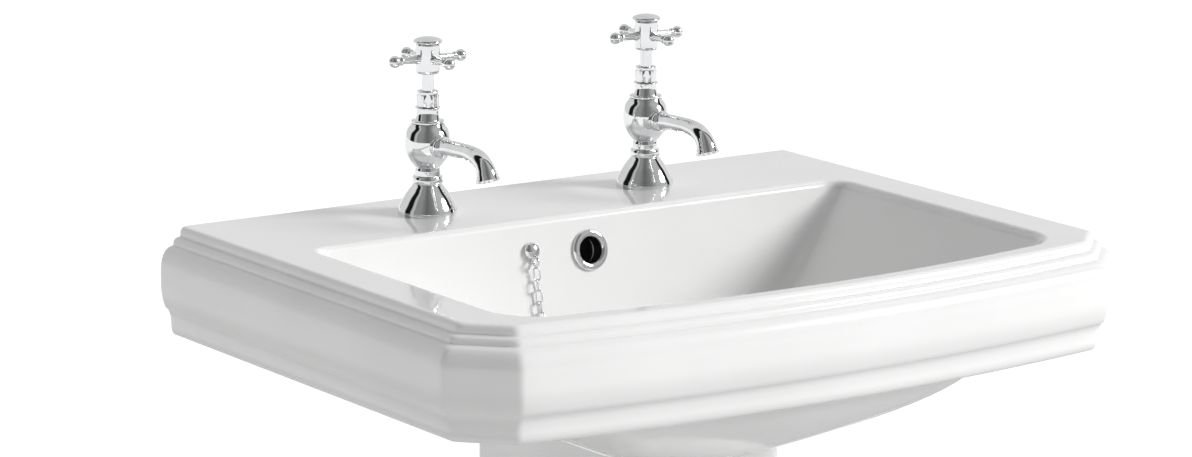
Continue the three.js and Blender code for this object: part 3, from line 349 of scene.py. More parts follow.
# %% Glazed ceramic
glaze, tree, shader, place = new_finish("white_glaze")
slow = noise(tree, place, 9.0, 2.0)
fine = noise(tree, place, 420.0, 4.0, 0.6)
tree.links.new(between(tree, slow, (0.86, 0.86, 0.855), (0.9, 0.9, 0.895)), shader.inputs["Base Color"])
tree.links.new(spread(tree, fine, 0.1, 0.2), shader.inputs["Roughness"])
shader.inputs["Coat Weight"].default_value = 0.6
shader.inputs["Coat Roughness"].default_value = 0.04
shader.inputs["Coat IOR"].default_value = 1.5
bumped(tree, shader, (slow, 0.12, 0.0012), (fine, 0.05, 0.00006))
print("the glaze has", len(tree.nodes), "nodes")

# %% [markdown]
# Chrome plate mirrors whatever is round it. What tells the eye that it is real is the faint
# haze of polishing and of dried water, so its roughness is uneven and very low.

# %% Chrome
chrome, tree, shader, place = new_finish("polished_chrome")
haze = noise(tree, place, 60.0, 4.0, 0.6)
grain = noise(tree, place, 900.0, 2.0)
tree.links.new(between(tree, haze, (0.74, 0.75, 0.76), (0.84, 0.845, 0.85)), shader.inputs["Base Color"])
tree.links.new(spread(tree, haze, 0.03, 0.09), shader.inputs["Roughness"])
shader.inputs["Metallic"].default_value = 1.0
bumped(tree, shader, (haze, 0.06, 0.0003), (grain, 0.03, 0.00003))
print("the chrome has", len(tree.nodes), "nodes")

# %% Other finishes under the basin and in the plug
def plain_finish(name, first, second, rough, metal=0.0, scale=180.0, dents=0.00012):
    """Two close colours and a range of roughness over fine noise, with a slight grain."""
    material, tree, shader, place = new_finish(name)
    speck = noise(tree, place, scale, 4.0, 0.6)
    tree.links.new(between(tree, speck, first, second), shader.inputs["Base Color"])
    tree.links.new(spread(tree, speck, *rough), shader.inputs["Roughness"])
    shader.inputs["Metallic"].default_value = metal
    bumped(tree, shader, (speck, 0.25, dents))
    return material


rubber = plain_finish("black_rubber", (0.018, 0.018, 0.019), (0.035, 0.035, 0.036), (0.5, 0.7))
brass = plain_finish("turned_brass", (0.55, 0.4, 0.17), (0.68, 0.51, 0.24), (0.22, 0.4), 1.0, 120.0)
steel = plain_finish("zinc_steel", (0.5, 0.51, 0.53), (0.62, 0.63, 0.64), (0.25, 0.45), 1.0, 260.0)
plastic = plain_finish("white_plastic", (0.8, 0.8, 0.78), (0.86, 0.86, 0.84), (0.3, 0.45), 0.0,
    300.0, 0.00005)

FINISH = {
    "glazed_ceramic": glaze,
    "chrome": chrome,
    "brass": brass,
    "rubber": rubber,
    "white_plastic": plastic,
    "steel": steel,
}
print(len(FINISH), "finishes")

# %% How a piece joins the object
SLOT_OF = {row["node"]: row["material_slot"] for row in frame["record"]["subparts"]}
BODY_OF = {
    node: body
    for body, nodes in frame["record"]["behaviour"]["bodies"].items()
    for node in nodes
}


def stands_for(piece, node, finish=None):
    """The piece takes the node's finish and slot, rides on its body and hides it."""
    slot_name = SLOT_OF[node]
    piece.data.materials.clear()
    piece.data.materials.append(finish or FINISH[slot_name])
    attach(piece, BODY_OF[node])
    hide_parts(node)
    return piece


for node, slot_name in SLOT_OF.items():
    solid = bpy.data.objects[node]
    solid.data.materials.clear()
    solid.data.materials.append(FINISH[slot_name])

# %% [markdown]
# ## The basin
# A potter's mould gives the basin its form: a flat top with the bowl let into it, and a
# moulding that runs round the front and both sides. Every level cut through it is the same
# kind of ring, straight at the back and sides, bowed at the front, with the front corners cut
# off on the moulding and rounded in the bowl. So the whole basin is one grid: rings with the
# same number of points, from the drain up the bowl, over the rim, down the moulding, back up
# inside the skirt, and down the outside of the bowl to the drain again.

# %% Rings of the basin
LONG, SHORT, TURN = 44, 30, 14


def basin_ring(half, rear, front, bow, rear_corner, front_corner, z, chamfer=None, soft=3.5):
    """Straight rear and sides; the front is y = front - bow (1 - (x / end)^2). The front
    corner is a quarter circle, or a straight cut whose two ends are softened."""
    reach = front_corner if chamfer is None else chamfer
    soften = 0.0 if chamfer is None else soft
    end = half - reach
    i_long, i_short, i_turn = (np.arange(n) / n for n in (LONG, SHORT, TURN))

    def line(a, b, t):
        return a + (b - a) * t

    def front_curve(x):
        return front - bow * (1 - (x / end) ** 2)

    angle = i_turn * np.pi / 2
    x_rear = line(rear_corner - half, half - rear_corner, i_long)
    rear_side = np.stack((x_rear, np.full(LONG, rear)), 1)
    rear_turn = np.stack(
        (half - rear_corner * (1 - np.sin(angle)), rear - rear_corner * (1 - np.cos(angle))), 1
    )
    y_side = line(rear - rear_corner, front + reach + soften, i_short)
    flank = np.stack((np.full(SHORT, half), y_side), 1)
    t = np.arange(TURN + 1) / TURN
    if chamfer is None:
        a = t * np.pi / 2
        turn = np.stack((half - reach * (1 - np.cos(a)), front + reach * (1 - np.sin(a))), 1)
    else:
        corner_a, corner_b = np.array((half, front + reach)), np.array((end, front))
        cut = (corner_b - corner_a) / np.linalg.norm(corner_b - corner_a)
        n = TURN // 3 + 1
        last = np.array((end - soften, front_curve(end - soften)))
        first_bend = curved(corner_a + (0, soften), corner_a, corner_a + cut * soften, n)
        last_bend = curved(corner_b - cut * soften, corner_b, last, n)
        middle = TURN + 1 - 2 * n
        share = (np.arange(middle) + 1)[:, None] / (middle + 1)
        turn = np.concatenate(
            (first_bend, first_bend[-1] + share * (last_bend[0] - first_bend[-1]), last_bend)
        )
    x_front = line(end - soften, -(end - soften), i_long)
    front_side = np.stack((x_front, front_curve(x_front)), 1)
    mirrored = (turn * (-1, 1))[::-1]
    y_back = line(front + reach + soften, rear - rear_corner, i_short)
    back_flank = np.stack((np.full(SHORT, -half), y_back), 1)
    back = (1 - i_turn) * np.pi / 2
    rear_end = np.stack(
        (rear_corner * (1 - np.sin(back)) - half, rear - rear_corner * (1 - np.cos(back))), 1
    )
    ring = np.concatenate(
        (rear_side, rear_turn, flank, turn[:-1], front_side, mirrored[:-1], back_flank, rear_end)
    )
    return np.column_stack((ring, np.full(len(ring), z)))


# %% Sizes of the basin, in millimetres
TOP_HALF = 278.1
TOP_DEPTH = 399.4
FRONT_BOW = 20.0
CORNER_CUT = 26.0
SKIRT_WALL = 12.0
DECK = 16.0
BOWL_HALF = 240.3
BOWL_REAR = 121.7
BOWL_FRONT = 389.8
BOWL_BOW = 16.7
BOWL_DEPTH = 140.0
BOWL_EDGE = 6.0
BOWL_WALL = 12.0
LEAN_OUT = BOWL_WALL * 1.15
KNEE_DEPTH = 95.0
SIDE_LEAN, REAR_LEAN, FRONT_LEAN = 0.88, 0.2, 0.12
DRAIN_Y = -235.0
DRAIN_HOLE, DRAIN_SEAT = 23.0, 34.0
BOSS_RADIUS, BOSS_DROP = 40.0, 24.0


def outline(out, z, inset=0.0):
    """The flat top's edge, moved out by `out`, or in from the wall by `inset`."""
    return basin_ring(
        TOP_HALF + out, -inset, -TOP_DEPTH - out, FRONT_BOW, 2.0, 0.0, z,
        chamfer=CORNER_CUT + out * (2 - np.sqrt(2)),
    )


def opening(out, z):
    return basin_ring(
        BOWL_HALF + out, -BOWL_REAR + out, -BOWL_FRONT - out, BOWL_BOW, 14 + out, 38 + out, z
    )


def knee(out, down):
    """Where the bowl's leaning walls would meet its floor."""
    return basin_ring(
        BOWL_HALF - SIDE_LEAN * KNEE_DEPTH + out,
        -BOWL_REAR - REAR_LEAN * KNEE_DEPTH + out,
        -BOWL_FRONT + FRONT_LEAN * KNEE_DEPTH - out,
        BOWL_BOW, 40 + out, 36 + out, -KNEE_DEPTH - down,
    )


def drain_circle(like, radius, z):
    """The ring's points carried in to a circle round the drain, each along its own angle."""
    angle = np.arctan2(like[:, 1] - DRAIN_Y, like[:, 0])
    ring = np.stack((radius * np.cos(angle), DRAIN_Y + radius * np.sin(angle)), 1)
    return np.column_stack((ring, np.full(len(ring), z)))


def wall_rings(top, bend, floor, steps=12):
    """Straight down to three quarters of the wall, then round: the same weights as a curve
    drawn from the wall to the floor and towards the bend."""
    wall_end = top + (bend - top) * 0.74
    floor_start = bend + (floor - bend) * 0.6
    straight = [top + (wall_end - top) * t for t in np.linspace(0, 1, 8, endpoint=False)]
    t = np.linspace(0, 1, steps)[:, None, None]
    round_part = (1 - t) ** 2 * wall_end + 2 * t * (1 - t) * bend + t**2 * floor_start
    flat = [floor_start + (floor - floor_start) * t for t in (0.25, 0.5, 0.75, 0.93)]
    return [*straight, *round_part, *flat]


# %% [markdown]
# The moulding is the basin's face: a rounded edge, two small reeds, a full swelling, a groove
# and a narrow lip. Each one is a short curve from point to point, out from the edge of the
# flat top and down from it.

# %% The moulding
REEDS = [
    ((0, 0), (5, 0), (5, 5.6)),
    ((5, 5.6), (5, 7.4), (6.4, 7.5)),
    ((6.4, 7.5), (11, 7.9), (11, 12)),
    ((11, 12), (11, 13.4), (12.4, 13.5)),
    ((12.4, 13.5), (21.6, 15), (21.9, 31)),
    ((21.9, 31), (21.9, 36), (21.9, 42)),
    ((21.9, 42), (21.6, 52), (18.0, 59.6)),
    ((18.0, 59.6), (15.2, 61.6), (14.2, 65.6)),
    ((14.2, 65.6), (13.4, 70), (13.4, 74)),
    ((13.4, 74), (13.2, 81.6), (7.4, 82)),
]
moulding = np.concatenate([curved(*run, steps=7)[:-1] for run in REEDS] + [[(7.4, 82)]])
print("the moulding has", len(moulding), "rings")

# %% The whole basin as one closed grid
bend_in = knee(0, 0)
floor_in = drain_circle(bend_in, DRAIN_SEAT, -BOWL_DEPTH)
inside = wall_rings(opening(0, -BOWL_EDGE), bend_in, floor_in) + [floor_in]
inside = inside[::-1]
bend_out = knee(LEAN_OUT, BOWL_WALL)
boss = drain_circle(bend_out, BOSS_RADIUS, -BOWL_DEPTH - BOSS_DROP)
outside = wall_rings(opening(LEAN_OUT, -DECK), bend_out, boss) + [boss]
edge = [
    opening(BOWL_EDGE * (1 - np.cos(a)), -BOWL_EDGE * (1 - np.sin(a)))
    for a in np.linspace(0, np.pi / 2, 9)[1:]
]
deck_in, deck_out = edge[-1], outline(0, 0)
flat_top = [deck_in + (deck_out - deck_in) * t for t in (0.015, 0.3, 0.7, 0.985)]
skirt_inside = [
    outline(-1, -82, SKIRT_WALL - 2),
    outline(0.5, -79, SKIRT_WALL),
    *[outline(x, z, SKIRT_WALL) for x, z in ((3, -68), (5.5, -60), (7, -44), (8, -30))],
    outline(7, -DECK - 4, SKIRT_WALL),
    outline(4, -DECK, SKIRT_WALL),
]
under = [skirt_inside[-1] + (outside[0] - skirt_inside[-1]) * t for t in (0.06, 0.94)]
rings = [
    drain_circle(floor_in, DRAIN_HOLE, -BOWL_DEPTH - BOSS_DROP),
    drain_circle(floor_in, DRAIN_HOLE, -BOWL_DEPTH - 1),
    drain_circle(floor_in, DRAIN_HOLE + 1, -BOWL_DEPTH),
    *inside,
    *edge,
    *flat_top,
    *[outline(out, -down) for out, down in moulding],
    *skirt_inside,
    *under,
    *outside,
    drain_circle(boss, BOSS_RADIUS - 2, -BOWL_DEPTH - BOSS_DROP),
]
basin = shell("basin_ware", placed(np.array(rings))[::-1], wrap_rows=True)
print("the basin has", len(basin.data.polygons), "faces")

# %% [markdown]
# Holes are cut as a fettler cuts them in the leather-hard clay: two for the taps, one for the
# overflow with its channel down to the waste, one for the chain stay and two for the bolts.
# A solid of each shape is taken away with a boolean, and then thrown away itself.

# %% Cutting and joining solids
def shaped(piece, operation, part, sharp=35.0):
    """Takes a closed part away from the piece, or joins it on, and keeps the result."""
    tool = mesh_of("tool", *in_frame(part))
    modifier = piece.modifiers.new("work", "BOOLEAN")
    modifier.operation, modifier.solver, modifier.object = operation, "MANIFOLD", tool
    made = bpy.data.meshes.new_from_object(piece.evaluated_get(bpy.context.evaluated_depsgraph_get()))
    piece.modifiers.clear()
    old, piece.data = piece.data, made
    made.name = piece.name
    bpy.data.meshes.remove(old)
    bpy.data.objects.remove(tool)
    piece.data.shade_smooth()
    piece.data.set_sharp_from_angle(angle=np.radians(sharp))
    return piece


REAR_SLOPE = REAR_LEAN * KNEE_DEPTH / (KNEE_DEPTH - BOWL_EDGE)
SLOPE_TILT = 90.0 - np.degrees(np.arctan(REAR_SLOPE))


def on_rear_wall(part, x, z):
    """A part made about +Z from z = 0, laid on the bowl's leaning rear wall."""
    return moved(tipped(part, "X", SLOPE_TILT), x, -BOWL_REAR + REAR_SLOPE * (z + BOWL_EDGE), z)


def rod(radius, low, high, segments=48):
    return turned([(0, low), (radius, low), (radius, high), (0, high)], segments)


def channel(width, depth):
    """A rectangular section down the back of the bowl and forward to the waste."""
    def back_at(z):
        return -BOWL_REAR + LEAN_OUT + REAR_LEAN * z

    line = through([
        (0, back_at(-DECK) + 6, -DECK + 2),
        (0, back_at(-60) + 6, -60),
        (0, back_at(-110) + 6, -110),
        (0, back_at(-KNEE_DEPTH) - 2, -KNEE_DEPTH - 16),
        (0, back_at(-KNEE_DEPTH) - 26, -152),
        (0, DRAIN_Y + DRAIN_HOLE - 3, -152),
    ], 6)
    along = np.gradient(line, axis=0)
    along /= np.linalg.norm(along, axis=1, keepdims=True)
    across = np.array((1.0, 0.0, 0.0))
    outward = np.cross(across, along)
    corners = rounded([(-width, -depth, 5), (width, -depth, 5), (width, depth, 5), (-width, depth, 5)])
    grid = line[:, None] + 0.5 * (corners[None, :, :1] * across + corners[None, :, 1:] * outward[:, None])
    return skin(grid, caps=True)


# %% Holes in the basin
shaped(basin, "UNION", channel(36, 20))
shaped(basin, "DIFFERENCE", channel(26, 10))
OVERFLOW_Z = -27.5
shaped(basin, "DIFFERENCE", on_rear_wall(rod(12, -LEAN_OUT - 6, 12), 0, OVERFLOW_Z))
STAY_X, STAY_Z = -53.0, -22.5
shaped(basin, "DIFFERENCE", on_rear_wall(rod(2.6, -30, 12, 20), STAY_X, STAY_Z))
for side, x in TAP_X.items():
    shaped(basin, "DIFFERENCE", moved(rod(17.5, -DECK - 4, 4), x, TAP_Y))
    bolt_hole = moved(tipped(rod(5.2, -5, SKIRT_WALL + 5, 24), "X", 90), np.sign(x) * 150, 0, -58)
    shaped(basin, "DIFFERENCE", bolt_hole)
stands_for(basin, "basin")
print("the basin is cut for", len(TAP_X), "taps")

# %% The dark of the overflow
# Behind its ring the overflow opens into the duct. Its walls are painted near-black as painted shade for a
# deep duct that light hardly reaches.
painted_duct_shade = plain_finish("duct_painted_shade", (0.012, 0.012, 0.011), (0.02, 0.019, 0.018), (0.7, 0.9))
basin.data.materials.append(painted_duct_shade)
centres = np.empty(3 * len(basin.data.polygons))
basin.data.polygons.foreach_get("center", centres)
x, y, z = (centres.reshape(-1, 3) - placed((0, 0, 0))).T / MM
duct_middle = -BOWL_REAR + LEAN_OUT + REAR_LEAN * z + 6
DUCT_HALF, DUCT_REACH, DUCT_TOP, DUCT_LOW = 13.3, 7, -12, -115
in_duct = (np.abs(x) < DUCT_HALF) & (np.abs(y - duct_middle) < DUCT_REACH) & (z < DUCT_TOP) & (z > DUCT_LOW)
# Faces inside the duct take the near-black painted shade in the second slot, not the ware's own colour.
basin.data.polygons.foreach_set("material_index", in_duct.astype(np.int32))
print("with its holes the basin has", len(basin.data.polygons), "faces")

# %% [markdown]
# ## The pedestal
# The pedestal is a hollow column, open at the back to hide the pipes. In plan it is a
# rounded C, and up its height it swells at the plinth, draws in, and opens again under the
# basin, whose belly sits down into it.

# %% The column's C, repeated up its height
COLUMN_HALF, COLUMN_BACK, COLUMN_SIDE, COLUMN_FRONT = 100.0, -128.0, -196.0, -284.0
COLUMN_WALL, COLUMN_POWER = 10.0, 2.5
COLUMN_TOP = 716.0
PLINTH_HEIGHT, PLINTH_OUT = 72.0, 16.0


def column_arc(out, inset, steps=96):
    """x = half |cos a|^(2/n), y = side - depth sin(a)^(2/n), between two straight flanks."""
    half = COLUMN_HALF + out - inset
    depth = COLUMN_SIDE - COLUMN_FRONT + out - inset
    a = np.linspace(0, np.pi, steps)
    x = half * np.sign(np.cos(a)) * np.abs(np.cos(a)) ** (2 / COLUMN_POWER)
    y = COLUMN_SIDE - depth * np.abs(np.sin(a)) ** (2 / COLUMN_POWER)
    back = np.linspace(COLUMN_BACK, COLUMN_SIDE, 8, endpoint=False)
    first = np.stack((np.full(8, half), back), 1)
    return np.concatenate((first, np.stack((x, y), 1), (first * (-1, 1))[::-1]))


def column_section(out, z):
    """The C's outside, and its inside run back the other way, whose ends are softened."""
    outer, inner = column_arc(out, 0.0), column_arc(out, COLUMN_WALL)[::-1]
    ends = [
        curved(outer[-1], outer[-1] + (2.5, 3.0), inner[0], 6)[1:-1],
        curved(inner[-1], inner[-1] + (2.5, 3.0), outer[0], 6)[1:-1],
    ]
    loop = np.concatenate((outer, ends[0], inner, ends[1]))
    return np.column_stack((loop, np.full(len(loop), z)))


P, H = PLINTH_OUT, PLINTH_HEIGHT  # short names, for the lines below
PLINTH = [
    ((P - 1.5, 0), (P, 0), (P, 2)),
    ((P, 2), (P, 30), (P, H - 5)),
    ((P, H - 5), (P, H), (P - 4, H)),
    ((P - 4, H), (P - 4.5, H + 4), (P - 4.8, H + 6)),
    ((P - 4.8, H + 6), (P - 9, H + 6.5), (P - 9.3, H + 12)),
]
low_part = np.concatenate([curved(*run, steps=6)[:-1] for run in PLINTH])
shaft = through([
    (P - 9.3, H + 12), (-2, H + 28), (-7, H + 70), (-9, H + 240),
    (-5, COLUMN_TOP - 220), (0, COLUMN_TOP - 60), (0, COLUMN_TOP),
], 7)
profile = np.concatenate((low_part, shaft))
sections = np.array([column_section(out, z) for out, z in profile])
column = shell("pedestal_ware", placed(sections - (0, 0, 850.0)), caps=True)

# %% [markdown]
# The belly of the bowl is pressed into the top of the column, so the column's upper edge is
# exactly the line where the two meet. The same rings that made the belly, moved out by the
# joint's width, make the solid that is taken away. Two lugs inside the foot take the screws.

# %% Where the belly sits, and the lugs in the foot
JOINT = 0.3
bend_cut = knee(LEAN_OUT + JOINT, BOWL_WALL + JOINT)
boss_cut = drain_circle(bend_cut, BOSS_RADIUS + JOINT, -BOWL_DEPTH - BOSS_DROP - JOINT)
belly = wall_rings(opening(LEAN_OUT + JOINT, -DECK), bend_cut, boss_cut) + [boss_cut]
mouth = belly[0] * (1, 1, 0) + (0, 0, 40)
tool_grid = np.array([mouth, *belly])[:, ::-1]
shaped(column, "DIFFERENCE", skin(tool_grid, caps=True))
lug_low, lug_high = 61.0, 111.0
for way in (-1, 1):
    x0, x1 = sorted((way * lug_low, way * lug_high))
    plan = rounded([(x0, -165, 3), (x1, -165, 3), (x1, -135, 3), (x0, -135, 3)])
    levels = np.array([np.column_stack((plan, np.full(len(plan), z))) for z in (-850.0, -838.0)])
    shaped(column, "UNION", skin(levels, caps=True))
    shaped(column, "DIFFERENCE", moved(rod(3.4, -2, 14, 24), way * 76, -150, -850))
stands_for(column, "pedestal")
print("the pedestal has", len(column.data.polygons), "faces")

# %% [markdown]
# ## The taps
# A pillar tap is turned brass, plated: a bell foot, a bead, a bulb that holds the valve, the
# headgear and its gland nut, a spindle and a cross handle with four balls. The pieces are
# turned from rounded profiles. Each tap is built about its own axis, then set in its hole.

# %% The body of a tap
BULB_Z = 53.5


def tap_body():
    foot = rounded([(6, -55, 0), (10.4, -55, 0.8), (10.4, 2.3, 0), (19.3, 2.3, 0), (19.3, 0.3, 0),
        (22.3, 0.3, 0.6)])
    bell = through([(22.3, 2.8), (21.6, 5.4), (19.6, 9.6), (16.6, 14.8), (13.2, 19.4), (10.9, 22.4)], 6)
    bead = curved((10.6, 23.0), (12.1, 23.2), (11.2, 28.2), 8)
    neck = rounded([(10.9, 28.6, 0.2), (9.7, 28.9, 0.6), (9.7, 33.4, 1), (9.2, 35.4, 0.6)])[1:-1]
    bulb = through([
        (9.2, 35.8), (11.2, 38.0), (14.2, 42.0), (16.6, 47.2), (17.4, 52.4),
        (17.2, 58.0), (15.7, 63.6), (13.2, 67.4), (12.3, 69.0),
    ], 6)
    chamber = [(9.6, 69.0), (9.6, 43.0), (7.4, 43.0), (6.4, 46.0), (5, 46.0), (5, 40), (6, 38)]
    profile = np.concatenate((foot, bell, bead, neck, bulb, chamber))
    boss_line = np.array([(0, -y, BULB_Z) for y in (12.6, 16.6, 17.6, 18.0)])
    boss = skin(carried(boss_line, (8.4, 8.4, 8.2, 7.6), 48), caps=True)
    return turned(profile), boss


def set_in(part, side):
    return moved(part, TAP_X[side], TAP_Y, 0)


for side in TAP_X:
    body, boss = tap_body()
    piece = mesh_of(f"{side}_tap_casting", *in_frame(set_in(body, side)))
    shaped(piece, "UNION", set_in(boss, side))
    way = moved(tipped(rod(5.9, 4, 22), "X", 90), 0, 0, BULB_Z)
    shaped(piece, "DIFFERENCE", set_in(way, side))
    stands_for(piece, f"{side}_tap_body")

# %% [markdown]
# The spout is one tube drawn forward and bent down. Its radius is a line of its own: a collar
# against the bulb, a slim arm, and a mouth that flares. The bore goes back up inside it, so
# the grid closes on itself.

# %% Spouts
def spout():
    start, reach = 18.3, 82.0
    line = through([
        (0, -start, 0), (0, -start - 4, 0), (0, -start - 13, 1), (0, -start - 25, 1.4),
        (0, -reach + 22, 1.3), (0, -reach + 11, -1.1), (0, -reach + 3.4, -7.2), (0, -reach, -15.5),
    ], 12)
    share = np.concatenate(([0], np.cumsum(np.linalg.norm(np.diff(line, axis=0), axis=1))))
    share /= share[-1]
    outer = np.interp(share, (0, 0.015, 0.04, 0.06, 0.085, 0.1, 0.2, 0.55, 0.68, 0.8, 0.88, 0.94, 0.985, 1),
                      (7.9, 8.4, 8.4, 8.0, 6.6, 6.3, 6.0, 6.0, 6.3, 6.6, 7.1, 7.9, 8.8, 9.0))
    inner = np.interp(share, (0, 0.68, 0.9, 1), (4, 4, 5, 7.2))
    out_rings, in_rings = carried(line, outer, 40), carried(line, inner, 40)[::-1]
    lip = carried(line[-3:], (0, 0, 8.2), 40)[-1:] + (0, 0, -0.35)
    grid = np.concatenate((out_rings, lip, in_rings))
    return skin(grid, wrap_rows=True)


for side in TAP_X:
    tube = moved(spout(), 0, 0, BULB_Z)
    piece = mesh_of(f"{side}_spout_tube", *in_frame(set_in(tube, side)), sharp=50)
    stands_for(piece, f"{side}_spout")

# %% Headgear, gland nut and spindle
def headgear():
    return turned(rounded([
        (7.4, 57, 0), (9.2, 57, 0.5), (9.2, 69.3, 0), (12.5, 69.3, 0.5), (12.5, 71.2, 0.7), (9.6, 71.3, 0.5),
        (8.5, 76, 2), (8.3, 80.4, 0.2), (9.5, 80.5, 0.3), (9.5, 81.3, 0.3), (6.9, 81.3, 0), (6.9, 75.3, 0),
        (5.15, 75.3, 0), (5.15, 70.6, 0), (7.4, 70.6, 0),
    ]))


def hexagon(flats, low, high, bore=None, chamfer=0.9):
    """Six sides, whose corners are turned off at the ends: the radius at angle a is
    (flats / 2) / cos(a from the nearest flat), kept within the turned cone."""
    angle = np.linspace(0, 2 * np.pi, 96, endpoint=False)
    to_flat = (angle + np.pi / 6) % (np.pi / 3) - np.pi / 6
    hexed = flats / 2 / np.cos(to_flat)
    corner = flats / 2 / np.cos(np.pi / 6)
    levels = [(low, corner - 1.1), (low + chamfer, corner), (high - chamfer, corner), (high, corner - 1.1)]
    rows = [np.stack((np.minimum(hexed, top) * np.cos(angle), np.minimum(hexed, top) * np.sin(angle),
                      np.full(96, z)), 1) for z, top in levels]
    if bore is None:
        return skin(np.array(rows), caps=True)
    ring = np.stack((bore * np.cos(angle), bore * np.sin(angle)), 1)
    rows += [np.column_stack((ring, np.full(96, z))) for z in (high, low)]
    return skin(np.array(rows), wrap_rows=True)


def gland_collar():
    return turned(rounded([(5.15, 90.9, 0), (6.9, 90.9, 0), (8, 91.4, 0.2), (8, 93.8, 0.7),
        (5.15, 93.8, 0.2)]))


def spindle():
    return turned(rounded([
        (0, 51.6, 0), (5.8, 51.6, 0.3), (7, 54.6, 0), (7, 64.2, 0), (4.75, 65.2, 0),
        (4.75, 108, 0.2), (4.05, 108.5, 0), (4.05, 120, 0.3), (0, 120, 0),
    ]))


for side in TAP_X:
    piece = mesh_of(f"{side}_headgear_turning", *in_frame(set_in(headgear(), side)))
    stands_for(piece, f"{side}_headgear")
    nut = together(f"{side}_gland", [
        in_frame(set_in(hexagon(14.6, 81.6, 91.2, 5.15), side)),
        in_frame(set_in(gland_collar(), side)),
    ])
    stands_for(nut, f"{side}_gland_nut")
    piece = mesh_of(f"{side}_spindle_rod", *in_frame(set_in(spindle(), side)))
    stands_for(piece, f"{side}_spindle")

# %% [markdown]
# The handle is a hub with four arms at right angles, each one tapering to a neck and ending in
# a ball. Arms and hub are cast in one, so they are joined with a boolean. A plain domed cap
# closes the top; real caps show hot or cold, and these are left plain.

# %% Handles and caps
def arm():
    """From inside the hub outwards: a taper, a small collar, a neck, then the ball's arc."""
    ball = [(4.6 * np.sin(a), 29.3 - 4.6 * np.cos(a)) for a in np.linspace(0.5, np.pi, 14)]
    ball[-1] = (0.0, ball[-1][1])
    taper = rounded([(0, 5, 0), (3.6, 5, 0), (3.5, 10.4, 0.8), (2.9, 11.6, 0.8), (2.5, 20, 1),
        (2.3, 22.6, 0.5),
                     (3.3, 23.2, 0.2), (3.3, 24.2, 0.3), (2.2, 24.9, 0)])
    return turned(np.concatenate((taper, ball)), 28)


def hub():
    return turned(rounded([
        (5.05, 107, 0.2), (8.6, 107, 1.0), (9.2, 109, 0.5), (9.2, 128.6, 0.4), (8.9, 130, 0.3), (6.6, 130, 0),
        (6.6, 122.6, 0), (2.3, 122.6, 0), (2.3, 120.3, 0), (5.05, 120.3, 0),
    ]))


def cap():
    dome = [(11.0 * np.sin(a), 131.6 + 3.5 * (np.cos(a) - 0.15)) for a in np.linspace(1.3, 0.0, 12)]
    dome[-1] = (0.0, dome[-1][1])
    rim = rounded([(0, 127.4, 0), (6.3, 127.4, 0.2), (6.3, 130.3, 0), (11, 130.3, 0.6),
        (11.1, 131.4, 0.5), (10.5, 131.9, 0)])
    return turned(np.concatenate((rim, dome)))


for side in TAP_X:
    handle = mesh_of(f"{side}_handle_cross", *in_frame(set_in(hub(), side)))
    for quarter in range(4):
        one = moved(tipped(tipped(arm(), "Y", 90), "Z", 90 * quarter), 0, 0, 118)
        shaped(handle, "UNION", set_in(one, side))
    stands_for(handle, f"{side}_cross_handle")
    piece = mesh_of(f"{side}_cap", *in_frame(set_in(cap(), side)), sharp=60)
    stands_for(piece, f"{side}_index_cap")
TAP_HEIGHT = 0.135
print("the taps reach", round((RIM + TAP_HEIGHT) / MM), "mm above the floor")

# %% [markdown]
# ## In the bowl
# The overflow has a plated ring, and the chain hangs from a small domed stay whose stud goes
# through the bowl's rear wall. The waste has a dished flange with the plug in it.

# %% Overflow ring and chain stay
overflow = turned(rounded([
    (10, -9, 0.2), (11.5, -9, 0.2), (11.5, 0.3, 0), (15.8, 0.3, 0.3), (15.8, 1.5, 0.7), (14.4, 2.9, 0.8),
    (12.4, 3.2, 1.0), (10.4, 2.4, 0.8), (10, 1, 0.5),
]))
piece = mesh_of("overflow_trim", *in_frame(on_rear_wall(overflow, 0, OVERFLOW_Z)))
stands_for(piece, "overflow_ring")

EYE_BEND, EYE_WIRE = 3.3, 1.0
EYE = (0.0, -8.2, 4.9)


def loop(bend, wire, turns=40, sides=14):
    """A ring of wire in the YZ plane: a circle of radius `wire` carried round one of `bend`."""
    a, b = np.meshgrid(np.linspace(0, 2 * np.pi, turns, endpoint=False),
                       np.linspace(0, 2 * np.pi, sides, endpoint=False), indexing="ij")
    across = bend + wire * np.cos(b)
    return skin(np.stack((wire * np.sin(b), across * np.cos(a), across * np.sin(a)), -1), wrap_rows=True)


stay_dome = turned(np.concatenate((
    rounded([(0, -24, 0), (2.2, -24, 0.3), (2.2, 0.3, 0), (6.6, 0.3, 0.4), (6.6, 1.8, 0.4)])[:-1],
    [(6.5 * np.sin(a), 1.8 + 3.7 * np.cos(a)) for a in np.linspace(np.pi / 2, 0.08, 10)], [(0.0, 5.5)],
)), 48)
stay = together("chain_stay_boss", [
    in_frame(on_rear_wall(stay_dome, STAY_X, STAY_Z)),
    in_frame(on_rear_wall(moved(loop(EYE_BEND, EYE_WIRE), *EYE), STAY_X, STAY_Z)),
])
stands_for(stay, "chain_stay")

# %% Waste flange, plug and its ring
FLANGE_UNDER = -BOWL_DEPTH + 2.0
PLUG_LEVEL = FLANGE_UNDER + 2.6
PLUG_RING_Z = PLUG_LEVEL + 11.9
waste = moved(turned(rounded([
    (17.6, -BOWL_DEPTH - 85, 0.4), (20.9, -BOWL_DEPTH - 85, 0.4), (20.9, FLANGE_UNDER, 0),
    (30.8, FLANGE_UNDER, 0.3),
    (31.5, FLANGE_UNDER + 0.8, 0.5), (29.6, FLANGE_UNDER + 2.1, 1.2), (23.4, PLUG_LEVEL, 1.4),
    (19.9, PLUG_LEVEL - 0.5, 0.8), (17.6, PLUG_LEVEL - 12, 0.5),
])), 0, DRAIN_Y)
piece = mesh_of("waste_fitting", *in_frame(waste))
slot_corners = ((-7, -30), (7, -30), (7, 30), (-7, 30))
slot_box = np.array([(x, y, z) for z in (-156, -148) for x, y in slot_corners], float)
